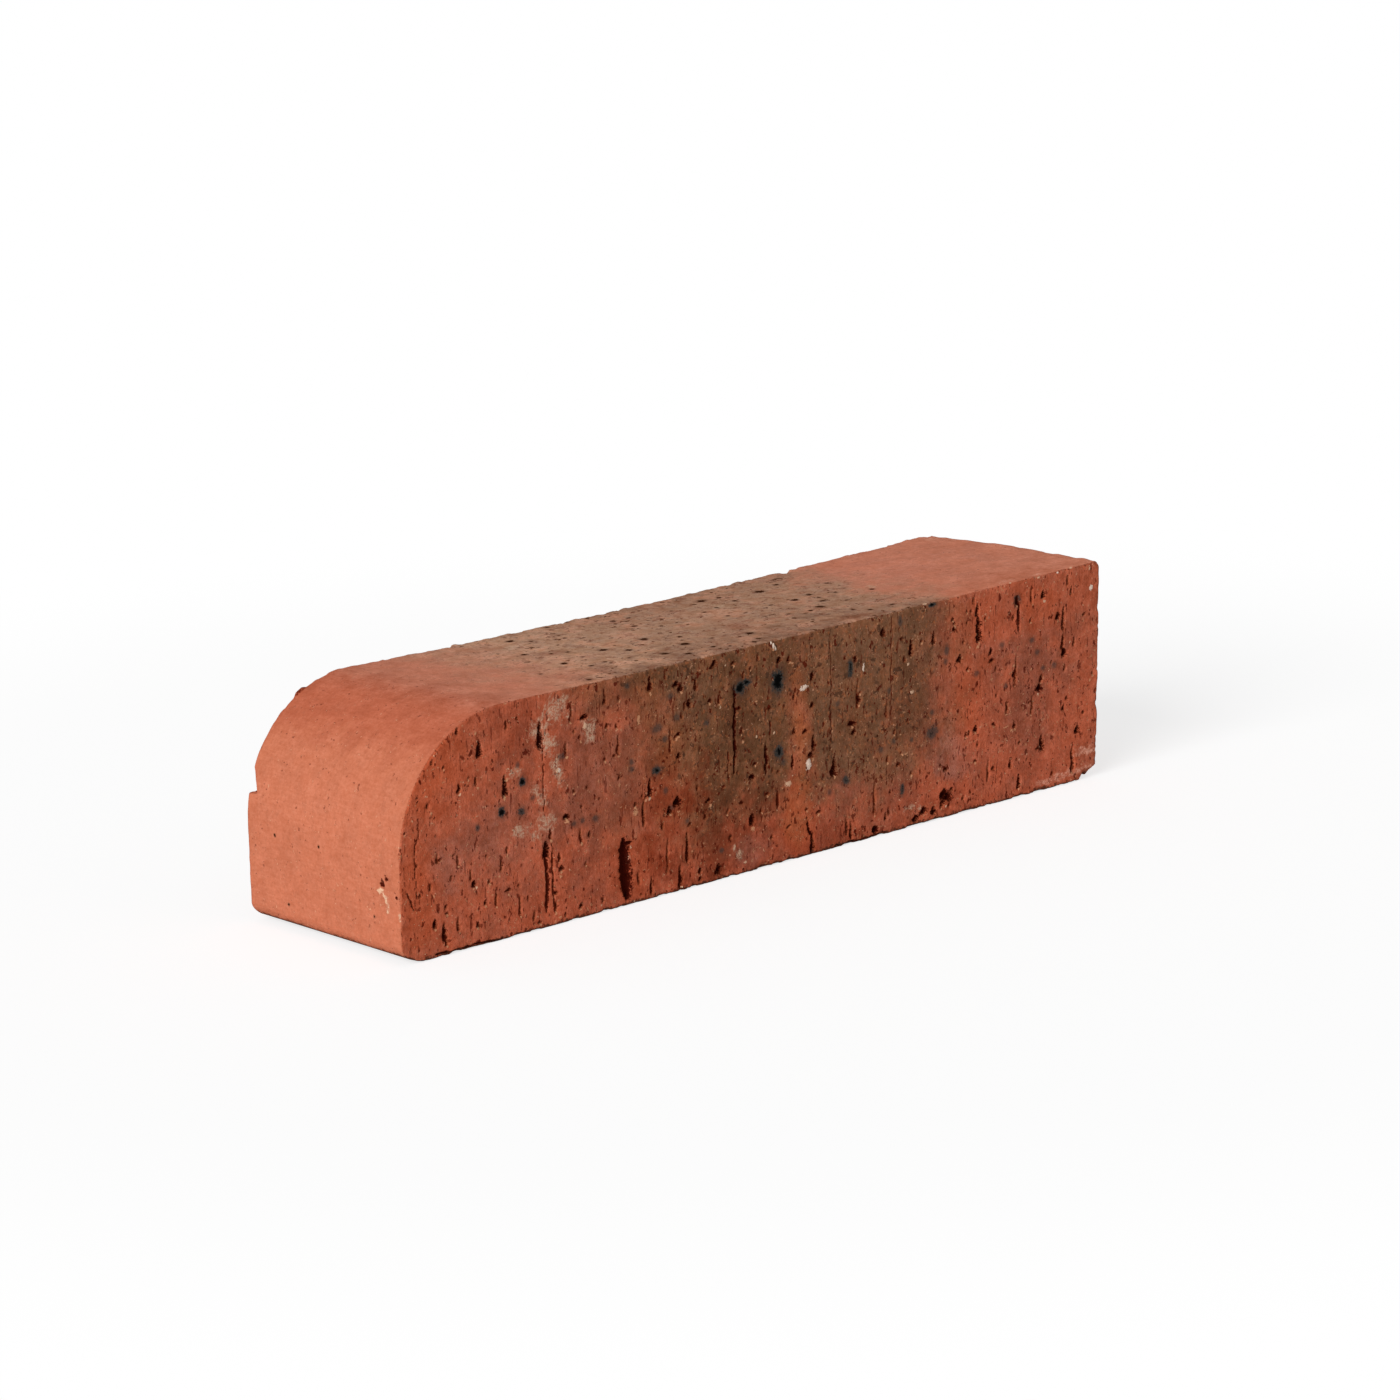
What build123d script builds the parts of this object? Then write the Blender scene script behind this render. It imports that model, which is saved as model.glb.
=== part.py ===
from build123d import *

import os

# A rounded brick: one solid piece of fired clay with no holes. Laid on a wire-cut face it turns the
# rounded corner of a wall, a pillar or a reveal, and laid as it lies here it ends a step or a coping.
# Clay is pressed out through a die, whose opening is a long rectangle with one corner made a large
# quarter round, and wires cut the moving column into slices. Each slice is a brick, so the quarter
# round runs straight through it from one wire-cut face to the other.
# X runs along the brick with the quarter round at its -X end, Y runs through it between the two
# wire-cut faces, and Z is up. The origin is the middle of the face that the brick lies on.
# Sizes are in millimetres and are those of the fired brick.

# Die opening
LENGTH = 250.0
HEIGHT = 60.0
ROUND_RADIUS = 35.0  # upper corner of the -X end: the quarter round
HEEL_RADIUS = 6.0  # lower corner of the -X end
PLAIN_RADIUS = 4.0  # both corners of the plain +X end

# Slice
DEPTH = 65.0  # from one wire cut to the next
ARRIS_RADIUS = 0.8  # edges that the wires leave, blunted by handling, drying and firing


def die_opening():
    """The outline that the die gives the clay, upright in XZ with its lower side at Z = 0."""
    half = LENGTH / 2
    corners = [(-half, 0), (half, 0), (half, HEIGHT), (-half, HEIGHT)]
    radii = [HEEL_RADIUS, PLAIN_RADIUS, PLAIN_RADIUS, ROUND_RADIUS]
    return Plane.XZ * make_face(FilletPolyline(*corners, radius=radii, close=True))


def wire_cut_slice(outline):
    """A slice of the clay column, half on each side of the outline, with its cut edges blunted."""
    column = extrude(outline, amount=DEPTH / 2, both=True)
    cut_faces = column.faces().filter_by(Axis.Y)
    return fillet(cut_faces.edges(), ARRIS_RADIUS)


os.makedirs("parts", exist_ok=True)
rounded_brick = wire_cut_slice(die_opening())
rounded_brick.label = "rounded_brick"
export_step(rounded_brick, "parts/rounded_brick.step")
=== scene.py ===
import math
from collections import namedtuple
from types import SimpleNamespace

import bmesh
import bpy
import numpy as np
from mathutils import Matrix, Vector


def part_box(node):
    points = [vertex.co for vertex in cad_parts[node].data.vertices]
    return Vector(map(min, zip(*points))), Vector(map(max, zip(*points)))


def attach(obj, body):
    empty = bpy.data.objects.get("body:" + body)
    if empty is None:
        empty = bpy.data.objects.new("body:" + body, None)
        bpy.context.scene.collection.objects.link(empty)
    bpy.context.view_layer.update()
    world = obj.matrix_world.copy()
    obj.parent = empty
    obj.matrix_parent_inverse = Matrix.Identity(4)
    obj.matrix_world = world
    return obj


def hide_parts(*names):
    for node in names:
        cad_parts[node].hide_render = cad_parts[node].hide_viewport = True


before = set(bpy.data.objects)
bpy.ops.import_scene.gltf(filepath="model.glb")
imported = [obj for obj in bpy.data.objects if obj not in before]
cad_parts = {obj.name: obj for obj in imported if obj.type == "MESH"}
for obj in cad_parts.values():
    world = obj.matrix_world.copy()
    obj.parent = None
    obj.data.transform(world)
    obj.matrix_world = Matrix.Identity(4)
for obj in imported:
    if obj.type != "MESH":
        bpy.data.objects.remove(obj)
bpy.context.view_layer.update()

# A rounded brick on a pale floor. The brick is worked out in millimetres and stored in metres.
# X runs along it from the rounded end, Y through it between the two wire-cut faces, and Z is up.

MM = 0.001
BRICK = "rounded_brick"
low, high = (np.array(corner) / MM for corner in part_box(BRICK))
LENGTH, DEPTH, HEIGHT = high - low
HALF_LENGTH, HALF_DEPTH = LENGTH / 2, DEPTH / 2


# Camera

CAMERA_AZIMUTH = 41.714  # degrees that the view turns from +Y towards +X
CAMERA_ELEVATION = 13.548
CAMERA_ROLL = -1.932
CAMERA_DISTANCE = 1411.434  # mm, along the view, to the brick's middle
CAMERA_SLIDE = (-2.916, -9.588)  # mm that the middle lies right of and above the view's own middle
CAMERA_LENS = 136.333  # mm on the sensor below
SENSOR = 36.0


def make_camera():
    azimuth, elevation, roll = (math.radians(a) for a in (CAMERA_AZIMUTH, CAMERA_ELEVATION, CAMERA_ROLL))
    ahead = Vector((math.sin(azimuth) * math.cos(elevation), math.cos(azimuth) * math.cos(elevation),
                    -math.sin(elevation)))
    level = ahead.cross(Vector((0, 0, 1))).normalized()
    upright = level.cross(ahead)
    right = math.cos(roll) * level + math.sin(roll) * upright
    up = -math.sin(roll) * level + math.cos(roll) * upright
    middle = Vector((0, 0, HEIGHT / 2))
    place = middle - CAMERA_SLIDE[0] * right - CAMERA_SLIDE[1] * up - CAMERA_DISTANCE * ahead
    data = bpy.data.cameras.new("camera")
    data.sensor_width = SENSOR
    data.lens = CAMERA_LENS
    camera = bpy.data.objects.new("camera", data)
    turned = Matrix((right, up, -ahead)).transposed().to_4x4()
    camera.matrix_world = Matrix.Translation(place * MM) @ turned
    bpy.context.collection.objects.link(camera)
    bpy.context.scene.camera = camera


# Marks on the front, read off the photograph: x along the brick, z up, then width and height,
# all in millimetres.

FRONT_PITS = (
    # left fifth
    (-105, 55.3, .8, 2), (-98.2, 49.5, 1.6, 4), (-89.5, 54, .5, 2), (-85.7, 55.3, .7, .8),
    (-99.5, 42, .7, 2.5), (-105.2, 41, .9, 2), (-113.5, 49.2, .8, 1.2), (-109.7, 47.2, .6, 1),
    (-115, 38.5, .7, 1.6), (-90.3, 38.7, 1.3, 5.2), (-106, 23, .6, 2.5), (-112.7, 24.8, .6, 2.5),
    (-89.8, 22.3, .6, 2), (-92, 19, .7, 3), (-101, 16, 1.5, 1.5), (-102, 18.5, .5, 3), (-95.9, 16, .7, 1),
    (-108.3, 19.3, .6, 1), (-115, 18, .7, 1.8), (-114, 8.5, 1.3, 2), (-111, 6, 1.1, 4.4),
    (-110.2, 3.8, .8, 2.6), (-106.5, 7, .7, 4), (-100, 5.5, 1, 1.3), (-97.3, 10.4, 1, 1), (-93.8, 11, .5, 4),
    (-89.8, 12.2, 2, .8), (-86.2, 7.5, .5, 4.5), (-83.5, 9.2, .5, 1.5), (-81.5, 4, .6, 2.5),
    (-79.7, 1.9, 1.2, .8), (-110, 12.2, .8, .8), (-78.4, 49.5, 1.5, 6.6), (-75.7, 24, .8, 2),
    (-77, 19.8, 1.7, 4.2),
    # second fifth
    (-63.8, 51.5, 2.3, 1.3), (-56.5, 54.5, 1, 2), (-51.7, 54.5, .8, 1.2), (-41.2, 56.3, 1.2, 3.5),
    (-36, 57.5, .5, 3), (-32.2, 54.6, 1.6, 1.6), (-30.6, 53.2, 1.5, 2), (-27.7, 48.7, 1.3, 2),
    (-25.5, 53, 1, 3), (-67.8, 54, .5, 3), (-52.3, 42.3, .6, 5), (-53.8, 40, .6, .9), (-56.7, 39.5, .6, 1),
    (-34.5, 40, .5, 7), (-31.7, 41.3, 1.3, 1), (-31.5, 35.5, 1.3, 1.4), (-52, 33.8, .8, 1.5),
    (-67.5, 33.2, .7, 1), (-62.8, 33.3, .7, 1), (-70, 27.3, 2, 1.3), (-58.7, 29.8, .7, .9),
    (-41.8, 29, 1.3, 4.5), (-44, 24.3, .9, 4.5), (-44, 20.7, .8, 2.3), (-46.7, 25.8, .9, 1.3),
    (-32.3, 23.8, 2.2, 2), (-34.8, 22, 1.5, 2), (-25.3, 26, .8, 1.5), (-62.3, 21.2, 1, 1.5),
    (-65.5, 21.5, .5, 4), (-72.7, 17.4, .8, 2.4), (-72.2, 14.4, 1.1, 1.6), (-37.5, 18.5, .8, 1.5),
    (-28, 16.8, 1.3, 1), (-69.8, 44.5, .5, 4), (-74, 8.2, 1.5, .8), (-74.3, 5, .7, 3), (-71, 2, .8, 1),
    (-65.7, 3.2, 1.2, 1.3), (-58.3, 3.5, .6, 2), (-46, 6.5, .6, 3.5), (-41.5, 3.5, .9, 5), (-36, 10.5, .5, 9),
    (-29, 11, 1, 8), (-31.5, 3.8, 1.1, 6.4), (-24.8, 4, 1.2, 1.2), (-24.5, 1.8, 1, 1.4),
    # middle fifth
    (-19, 57.3, 1.8, 1.8), (-12.3, 56.3, 1.5, 1), (-3.6, 56.3, .8, 1.8), (-6.2, 54, 1, .8),
    (4, 54.5, 1.5, 1.5), (7.5, 54, 1, 2), (-20.5, 48, 1.2, 1.2), (-17.4, 47.7, .5, 2), (-10.3, 44.3, 1.5, 1),
    (-9.5, 38, .7, 1.7), (.6, 42.3, 1, .8), (5.5, 41.7, 1, .8), (-5, 28.5, 1.6, .9), (-6, 25.2, 1.8, 1.5),
    (-21.3, 22, 1.8, 1.2), (-9.7, 19.2, 1.5, .8), (-.6, 19.6, 1.3, .7), (-14.7, 17.8, .7, 1.5),
    (3.5, 24.8, 1, .8), (16, 48.3, 1.3, 2.3), (15.8, 40.3, 1.3, 1.5), (13.3, 33.8, 1.5, 1), (9.2, 34.5, 1, 2),
    (16.2, 30, 1.2, 4), (15.3, 26.8, 2, 1.5), (23.8, 22, 1.8, 5), (-6, 13.8, 1.8, 3), (-2.6, 15.8, .7, 1.6),
    (-13.7, 10.7, 1, 1), (-18.2, 3, 1.7, 3), (15.8, 3.2, 1.3, 5.5), (7.2, 9.5, 1.5, .7), (1.5, 25.8, .8, 1.4),
    (9.4, 44, .8, 2), (-11, 27.3, .9, .9), (-23, 19.3, 1.3, .8), (-22.6, 18, .8, 1.6), (18, 11, 1.6, .9),
    (-8.8, 52.5, .6, 2), (-24.2, 36, .7, 1.3),
    # fourth fifth
    (41.8, 55, 1.5, 2), (48.7, 52, 1.2, .9), (31.7, 49.7, 1.1, 1.4), (52.2, 49, 1.3, 4.5),
    (49.9, 46.5, .9, 1.8), (60.7, 50, 1.2, 3), (56.2, 50.3, .8, 1.1), (68, 54, 1, 1), (68.5, 52.6, 1, 1),
    (68.3, 51, 1, 1), (72, 46.7, .8, 1.1), (70.5, 42.7, 1.5, 1.8), (67, 40.3, .8, 1), (32.3, 40.2, .6, 7.5),
    (32.8, 38.5, 1.2, 2), (43.2, 34, .6, 4.6), (30.3, 32.4, 2.6, 1.2), (31, 30.3, 1.4, 1.3),
    (46, 27.3, .8, 1), (48.2, 27, .7, .9), (47.3, 18.2, 1, 1), (38.7, 10.5, .5, 9), (39, 2.3, 2, 2.3),
    (28.3, 5.2, .9, 4.6), (30, 3.6, .9, 5), (44.5, 11.3, .8, 1), (63.5, 14.7, .8, 1), (65.5, 13, 1.6, 1),
    (74.5, 21.7, .8, 1.2), (64.9, 6.8, 2.5, 2.3), (66.8, 5.7, 2.4, 2.3), (65.2, 5, 1.3, 1.8),
    (67.9, 7.5, 1.2, 1), (63.9, 4.2, 1, 2.2), (66.9, 3.4, .8, 1.3), (57.3, 3.6, 2.4, 1.6),
    (54.3, 2.2, 2.2, 1.6), (61, 3, 1.8, 2), (72.3, 4, .8, 1),
    # right fifth
    (77.2, 54.6, 1.1, 3.4), (77.7, 51.2, 1.5, 2.8), (77.2, 49.3, .9, 1.8), (77.8, 47.6, 1.9, 3.4),
    (80.2, 51.9, .7, 1), (92.6, 54.6, 1.4, 2.2), (98, 55, .5, 4.2), (102.5, 54.3, 1.4, 1.8),
    (112.3, 56.7, .7, 2.7), (113.9, 53.3, .9, 2), (98, 48.3, .9, 1.5), (108.5, 47.5, 1.6, 2.2),
    (110.8, 46.5, 1, 6.6), (111.3, 37, 1.8, 2.2), (110.6, 40, 1, 4), (111.5, 32.5, .8, 1.8),
    (115.1, 39.5, .6, 3), (119, 46, 1.2, .7), (82.4, 42.4, 1.3, 1.5), (82.8, 39.8, 1.8, 1),
    (92.3, 35.5, .5, 8), (91.9, 34.6, 1.4, 1.5), (101.7, 29.2, 2, 2.6), (102.4, 31.5, 1, 2),
    (89.1, 26, .7, 3.7), (98.8, 24.8, .6, 5.5), (77, 22, 1.3, 1.6), (77.8, 18, .8, 1.5), (84, 22.3, 1.5, .8),
    (92.1, 20.3, 1, 1.8), (94.3, 15, .8, 1), (77, 13.5, 1.2, .7), (82, 10, .8, 6), (84, 10, 1, 1.1),
    (90.5, 9.5, 1.1, 2), (94.2, 4.4, 1.1, 3.8), (103, 13.4, 1.3, 4.4), (101.6, 12.2, 1.4, .9),
    (112.7, 24, 1.2, 1.2), (111.5, 21.5, 1.2, 1.5), (119.2, 18.8, .8, 1.2), (117, 14.5, 1.6, 2),
    (115.2, 6.5, 1, 7),
)

# Grooves and cracks that the wire dragged open: width, depth, then the points they pass through.
FRONT_GROOVES = (
    (.3, .35, ((-118.7, 46.5), (-118.4, 31.5), (-119.7, 29.3), (-119.9, 24), (-119.4, 16))),
    (.4, .5, ((-122.5, 18), (-120.5, 13.5))), (1.4, 1.1, ((-77.3, 22), (-77.1, 18.4))),
    (1.1, .7, ((-77.3, 18.6), (-76.9, 12), (-77.2, 4.3))), (.5, .5, ((-75.2, 21.5), (-75, 5))),
    (3, 1.5, ((-51.2, 16.8), (-51, 14), (-50.9, 8))), (3.4, 1.5, ((-50.8, 13), (-50.5, 8), (-49.9, 2.5))),
    (.9, .9, ((-51.5, 16.4), (-48.2, 16.2))),
    (.8, 1.2, ((-12.1, 50.5), (-11.9, 44), (-12.2, 38), (-11.9, 32), (-12.3, 27.4))),
    (.8, 1.1, ((-1, 33.5), (-.8, 29), (-1.1, 25))), (.4, .5, ((-14.4, 33.5), (-14.3, 24))),
    (.4, .5, ((.5, 39.5), (.7, 35))), (.3, .4, ((22.5, 59), (22.7, 42), (22.5, 26))),
    (.7, .8, ((8.5, 28.3), (8.3, 24.5))), (.8, .6, ((3, 19.5), (2.9, 15))),
    (.7, .9, ((14, 9.5), (14.1, 7.6), (15.2, 5.6))), (.8, .9, ((93, 54), (93.1, 50), (93.4, 45.8))),
    (.3, .4, ((-56.6, 58), (-56.4, 53.5))), (.3, .3, ((45, 59), (44.8, 30))),
    # The groove along the foot from x -114 to -92 is real relief, but its dark colour is painted shadow under
    # the arris.
    (.3, .3, ((-77.6, 46), (-77.3, 28))), (.8, .7, ((-114, .9), (-108, .7), (-99, .5), (-92, .4))),
    (.6, .6, ((24, .5), (34, .4), (44, .5))),
)

# Pale grains of broken ware and limestone, most of them at the lower end of the pit they tore.
FRONT_WHITE_GRAINS = (
    (12.8, 45.5, 2.7, 1.6), (14.2, 24.6, 2, 2.9), (34.5, 47, .6, 2.5), (121.7, 52.9, 1.6, 1.8),
    (1.2, 59.4, .8, 1.1), (2, 58.5, .8, 1.2), (2.7, 57.7, .7, 1.2), (-72.4, 39.6, 1, 1.5),
    (108, 59.7, 1.4, .8),
)
FRONT_CREAM_GRAINS = (
    (-63.5, 49.3, 1.7, 1.6), (-42, 26.3, 1, 1), (-4.2, 35.8, .8, .9), (1.8, 35.5, .8, .8),
    (-17, 45.5, .8, .9), (52.5, 37.2, 1.4, .9), (103, 52.5, 1, .8), (-48.6, 15.2, .7, .7),
    (6.9, 21.1, 2.3, 1.7), (57.5, 60, 1.4, .8), (-58.9, 2.1, .7, .7), (-47.5, .8, .9, .7),
    (-105, 39.5, .8, .9), (-100.3, 15.1, 1, .5), (8.5, 22.9, .7, .7), (-15, 56.5, .6, .6), (51, 45, .7, .8),
    (101, 27.3, .9, .7), (113.5, 39.3, .7, .7), (102.3, 12.6, .7, .9), (100.6, 59.6, 1.8, .7),
    (113.7, 59.8, 1, .7), (120.8, 58.4, .7, 1.2), (90, 59.9, .9, .6), (-73, 39.8, 1, 1.9),
    (65.6, 3.2, .7, .7), (-31.2, .9, .7, .7), (-88, 27.2, .6, .6), (-89, 43, .7, .6), (-75.5, 52.8, 1.4, .5),
    (-12.2, 7.6, .6, 1.4), (-10.8, 5.9, .8, 1), (-8.6, 3, 1.2, .8),
)
FRONT_OCHRE_GRAINS = (
    (-99.2, 40.1, .9, .8), (-114.3, 36.7, .8, .7), (-89.5, 40.5, .9, 1), (-92.6, 16.6, 1.2, .9),
    (-114.1, 15.8, .8, .7), (-111.5, 3.2, 1, .7), (-86, 4.8, .9, .7), (-99.5, 53.9, .8, 1.1),
    (-97.3, 55.7, 1.2, .5), (-90, 11, .7, .8), (-90.3, 8, .7, .7), (-90.2, 5.6, .7, .7),
    (-41.2, 53.6, 1.1, 1.3), (-70, 25.8, 2, 1), (-46.8, 23.8, 2, 1.4), (-36.7, 21, 1, .8), (-32, 21, 1.2, .9),
    (-72.5, 12, 1.2, 1), (-73, 1.7, .9, .7), (-45.2, 47.5, 1.2, 3), (-5.7, 11.3, 1.3, 1.5),
    (41.2, 38, .8, .9), (54.4, 13.9, .9, .8), (74.2, 45, .8, 1), (50.2, 20.5, 1.6, .5), (77.3, 44.7, 1.2, 1),
    (89.9, 52.4, .9, .8), (121.6, 27.2, .8, .9), (91.3, 37, .8, .9), (98.3, 34.7, .8, .8),
    (81.2, 22.5, .8, .8), (88.4, 20.5, 1.6, .5), (91, 19.1, 1.6, .5), (-24, 56.6, .8, .7), (-23, 40, .9, .7),
    (-4.5, 45, 1, .7), (10, 30.5, 1, .8), (8.6, 52.6, .8, .9), (9.6, 51, .7, .7), (7.4, 50.4, .7, .7),
    (10.8, 53.6, .8, .7), (2, 57.5, .7, .7), (-20.8, 20.6, 1, 1), (16, 25.4, .8, .7), (68, 49.4, .9, .7),
    (-43.5, 44.5, 1, 1.4),
)

# Spots where iron in the clay melted: a grey smudge, and a black middle where the fifth value says how much
# of it is black.
FRONT_IRON_SPOTS = (
    (-84.5, 39, 2.1, 2.4, .5), (-91.5, 32.5, 2.4, 2.8, .55), (-85, 31.4, 2.2, 2.1, .3),
    (-99.4, 30, 1.3, 1.6, .2), (-86, 43.5, 1.2, 1.2, .1), (-81.2, 34.3, 1.3, 1.3, 0),
    (-77.2, 21, 1.4, 2.8, .3), (-71, 43, 2.8, 1.5, .05), (-49, 57, 1.4, 1.3, .1), (-34, 51.8, 2, 1.3, 0),
    (-39, 44.2, 3, 1.9, .1), (-47.9, 37, 1.5, 1.5, .1), (-47.8, 35.3, 1.4, 1.3, .1), (-39.2, 33.3, 3, 2, .5),
    (-36.3, 27.5, 1.3, 1.3, 0), (-67.8, 25, 1.4, 1.3, 0), (-64.8, 25.2, 1.2, 1.2, 0),
    (-60.4, 24.9, 1.7, 1.6, .1), (-36.3, 41, 1.6, 1.4, .1), (-32.2, 45.8, 1.6, 1.5, 0),
    (-29, 18, 1.3, 1.2, 0), (-10, 49.6, 4.2, 3.4, .66), (-7.8, 50.6, 3, 2, .5), (3.4, 48.9, 4.3, 6.3, .62),
    (3.7, 29.9, 3.2, 3.6, .35), (-22, 42.5, 1.8, 1.6, .15), (-17, 7.8, 1.5, 1.2, .1), (22, 15.7, 1.5, 1.4, 0),
    (60, 59.3, 2.8, 1.3, .45), (48, 57, 1.4, 2.8, .1), (29.7, 47.5, 1.7, 4.6, .35), (65.5, 46, 1.6, 2.2, .1),
    (65.2, 42.9, 1.4, 1.4, 0), (44, 38.8, 1.6, 1.5, 0), (60.2, 24.5, 4, 3.4, .2), (28, 17.8, 2.6, 2.4, .3),
    (49, 11, 1.6, 3, .3), (41, 23.5, 1.4, 1.4, .1), (60, 30, 1.3, 1.3, 0), (45.8, 25, 1.3, 1.3, 0),
    (52.5, 24, 1.2, 1.2, 0), (92.5, 54.6, 2, 2.8, .3), (98.3, 42.7, 1.6, 1.4, .1), (100.6, 38.9, 1.5, 1.3, 0),
    (77, 37.5, 1.8, 1.3, 0), (86.7, 43.5, 1.4, 1.3, 0), (88.4, 32, 1.3, 1.2, 0), (103, 34.2, 1.3, 1.2, 0),
    (107.3, 34.2, 1.6, 1.4, 0), (5.3, 27, 1.8, 1.6, 0), (-34.6, 22.6, 2, 1.4, 0), (25, 39, 1.2, 1.2, 0),
)

# Thin grey-white salts that dried on the face.
FRONT_BLOOM = (
    (-87, 41.5, 2.5, 2), (-85.5, 26.5, 3.5, 2.5), (-79, 51, 4, 4), (-76, 47, 3, 5), (-78, 33.5, 2.5, 3),
    (-80.5, 36, 2, 2), (-77, 27, 5, 3.4), (-80.5, 24.5, 2.5, 2), (-73.5, 55, 5.5, 4.5), (-70.5, 57.3, 3, 2),
    (-74.5, 47, 2.5, 3), (-73.6, 41.5, 2.2, 4), (-72, 38, 1.8, 4), (-62, 48, 3, 4.5), (-49.5, 12.5, 1, 2.5),
    (52.5, 5.5, 3, 1.2), (56, 4.5, 2.5, 1.2), (120.5, 8, 6.5, 1.8), (113.5, 2.8, 9, 1.5), (106, 2.2, 8, 1.3),
    (-10.8, 5.6, 1.6, 2.2), (-12.4, 7.6, 1, 1.6), (120, 3.4, 4, .8),
)

# Dark specks on the top, x along and y across, with their width.
TOP_SPECKS = (
    (-42, 24, 2), (-50.5, 7.6, 1.6), (-50.8, -9.2, 1.8), (-45, 3, 1.2), (-41, 1, 1.2), (-30, 15.5, 1.2),
    (-33.5, -4.5, 2.2), (-29.4, -10.2, 1.9), (-18, -3, 2.2), (-15.4, -16.8, 2.7), (-26.4, -21.3, 2.2),
    (-22.4, -26.3, 1.7), (-13.1, -25.4, 1.6), (-8.5, 12, 1.5), (-7.5, 22, 1.6), (-4, 6, 1.1), (4, -20.8, 2.1),
    (24.2, 22, 2.5), (30, 21, 1.3), (42, 17.7, 2.6), (51, 20.5, 1.5), (40.3, 1.4, 1.8), (47.2, 3.2, 1.8),
    (44.2, -5.8, 1.7), (38.4, -10.9, 2.5), (33.5, -12.5, 1.2), (27, -11, 1.3), (44, -25, 1.4), (52, -25, 1.2),
    (15.5, 1, 1.2), (-48, -17, 1.3), (-24, 30, 1.2), (-2.3, 21.6, 1.1), (10.6, 18.7, 1), (15, 10, 1.1),
    (21, 11.8, 1.2), (30, 14.4, 1.3), (46.6, -1.7, 1.1), (32, 1.9, 1.1), (53.7, -.6, 1.2), (-10, -8.4, 1.1),
    (-6.3, -17, 1.1), (-12.7, -12.4, 1), (-35.6, -17.7, 1.3), (-42.7, -16.3, 1.1), (-59, -29.4, 1.4),
    (-62.7, -14, 1.1), (.9, -27.7, 1.3), (-9.9, -28.4, 1.1), (48.7, -10.6, 1.2), (41, -21.3, 1.2),
    (-38.4, 19.4, 1), (-2.4, -29.6, 1.6), (60.4, 10, 1.3), (62.3, -6.3, 1.4), (-16, 31.5, 1.3),
)

# Holes, lime and specks on the left end, y across and z up.
END_HOLES = ((-25.2, 19.6, 1.7, 1.5), (-26.6, 21.2, 1, 1), (-31, 17.2, .9, .8))
END_GRAINS = (
    (-24.2, 17.9, 2.6, 1.5), (-25.6, 16.8, 1, 1), (-26.6, 15.6, .9, 1.6), (-27.2, 13.3, .7, 1),
    (-32.2, 12.4, 1, .7),
)
END_BLOOM = ((-24.5, 17.7, 2, 1), (-26.3, 16.3, 1.4, 1.4), (-27, 14.5, 1.5, 2.2), (-32.3, 12.2, 1.2, 2.4))
END_SPECKS = ((20.3, 24.1, .7), (1.5, 24.4, .6), (15.5, 7.2, .6), (-21.3, 10.8, .6))
TOP_BLOOM = (
    (-49, 16.5, 2, 3), (-45, 18, 2, 2.5), (64.5, -3.5, 2.5, 3), (93.5, 24.5, 1.5, 2), (117, 26.5, 3, 3),
    (59.5, -30.5, 1.5, 2), (90, -30.5, 4, 1.5), (101, -31, 3, 1), (-19, 9, 2, 3), (22, 12, 3, 3),
)
BURR = (-106.5, 56.0, 5.5, 0.9)  # a burr on the back arris of the round: x, z, length, height

# Chips out of the arrises: side (-1 front, 1 back), place on the outline, length, depth.
CHIPS = (
    (-1, 2, 60, 4, .5), (-1, 57.5, 60, 5, .6), (-1, 125, 5.3, 2.4, 1), (-1, 112, 0, 4, .5),
    (-1, -125, 12, 4, .5), (-1, -60, 60, 3, .4), (-1, 31, 60, 3, .4), (-1, 104, 60, 4, .5),
    (-1, 125, 38, 3, .5), (-1, 125, 47, 5, .6), (-1, 125, 20, 4, .5), (-1, -37, 0, 4, .6), (-1, 29, 0, 6, 1),
    (-1, 74, 0, 4, .6), (-1, -100, 0, 5, .6), (-1, -112, .4, 6, .6), (-1, 3, 0, 5, .6), (-1, -18, 0, 3, .7),
    (-1, -31, 0, 3, .9), (1, 64, 60, 5.5, 2.3), (1, -109, 50, 5, 1.0), (1, -18, 60, 5, .9),
    (1, -78, 60, 5, .8), (1, -60, 60, 4, .5), (1, 100, 60, 5, .5), (1, 20, 60, 6, .5), (1, 125, 30, 6, .9),
    (1, 60, 0, 9, 1.8), (1, -40, 0, 6, 1.2), (1, 125, 59, 15, 2.8),
)
# The lower right corner broke off in steps: place along the arris and how much is gone there.
BROKEN_FOOT = ((116.3, 117, 117.7, 118.3, 120.2, 122.4, 125), (0, 1.0, .1, .2, 2.3, 2, 2.4))
FOOT_ROOM = (8.0, 3.0)  # mm in from the front over which the underside is broken away too
# A flake came off the back left arris above a ledge: the ledge's height, the flake's height and its depth.
LEDGE = (33.0, 7.5, 2.9)


# Random fields

LATTICE_SIDE = 32
LATTICE_TURN = (3.1, 7.7, 11.3)  # how far apart in the lattice the noises of two turns are read
lattice = np.random.default_rng(41).uniform(-1, 1, (LATTICE_SIDE,) * 3)


def noise(points, size, turn=0):
    """Smooth noise from -1 to 1 over points (n, 3), whose blobs are about the given size in mm."""
    q = points / np.asarray(size, float) + np.array(LATTICE_TURN) * (turn + 1)
    cell = np.floor(q).astype(int)
    part = q - cell
    part = part * part * (3 - 2 * part)
    total = np.zeros(len(points))
    for corner in range(8):
        step = np.array((corner & 1, corner >> 1 & 1, corner >> 2 & 1))
        weight = np.where(step, part, 1 - part).prod(1)
        i, j, k = ((cell + step) % LATTICE_SIDE).T
        total += weight * lattice[i, j, k]
    return total


def waves(points, table):
    """The sum of several noises, each given as its blobs' size, its turn and its height in mm."""
    return sum(height * noise(points, size, turn) for size, turn, height in table)


def smooth(value, start, end):
    """0 before start, 1 past end, and a soft step between."""
    t = np.clip((value - start) / (end - start), 0, 1)
    return t * t * (3 - 2 * t)


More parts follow.
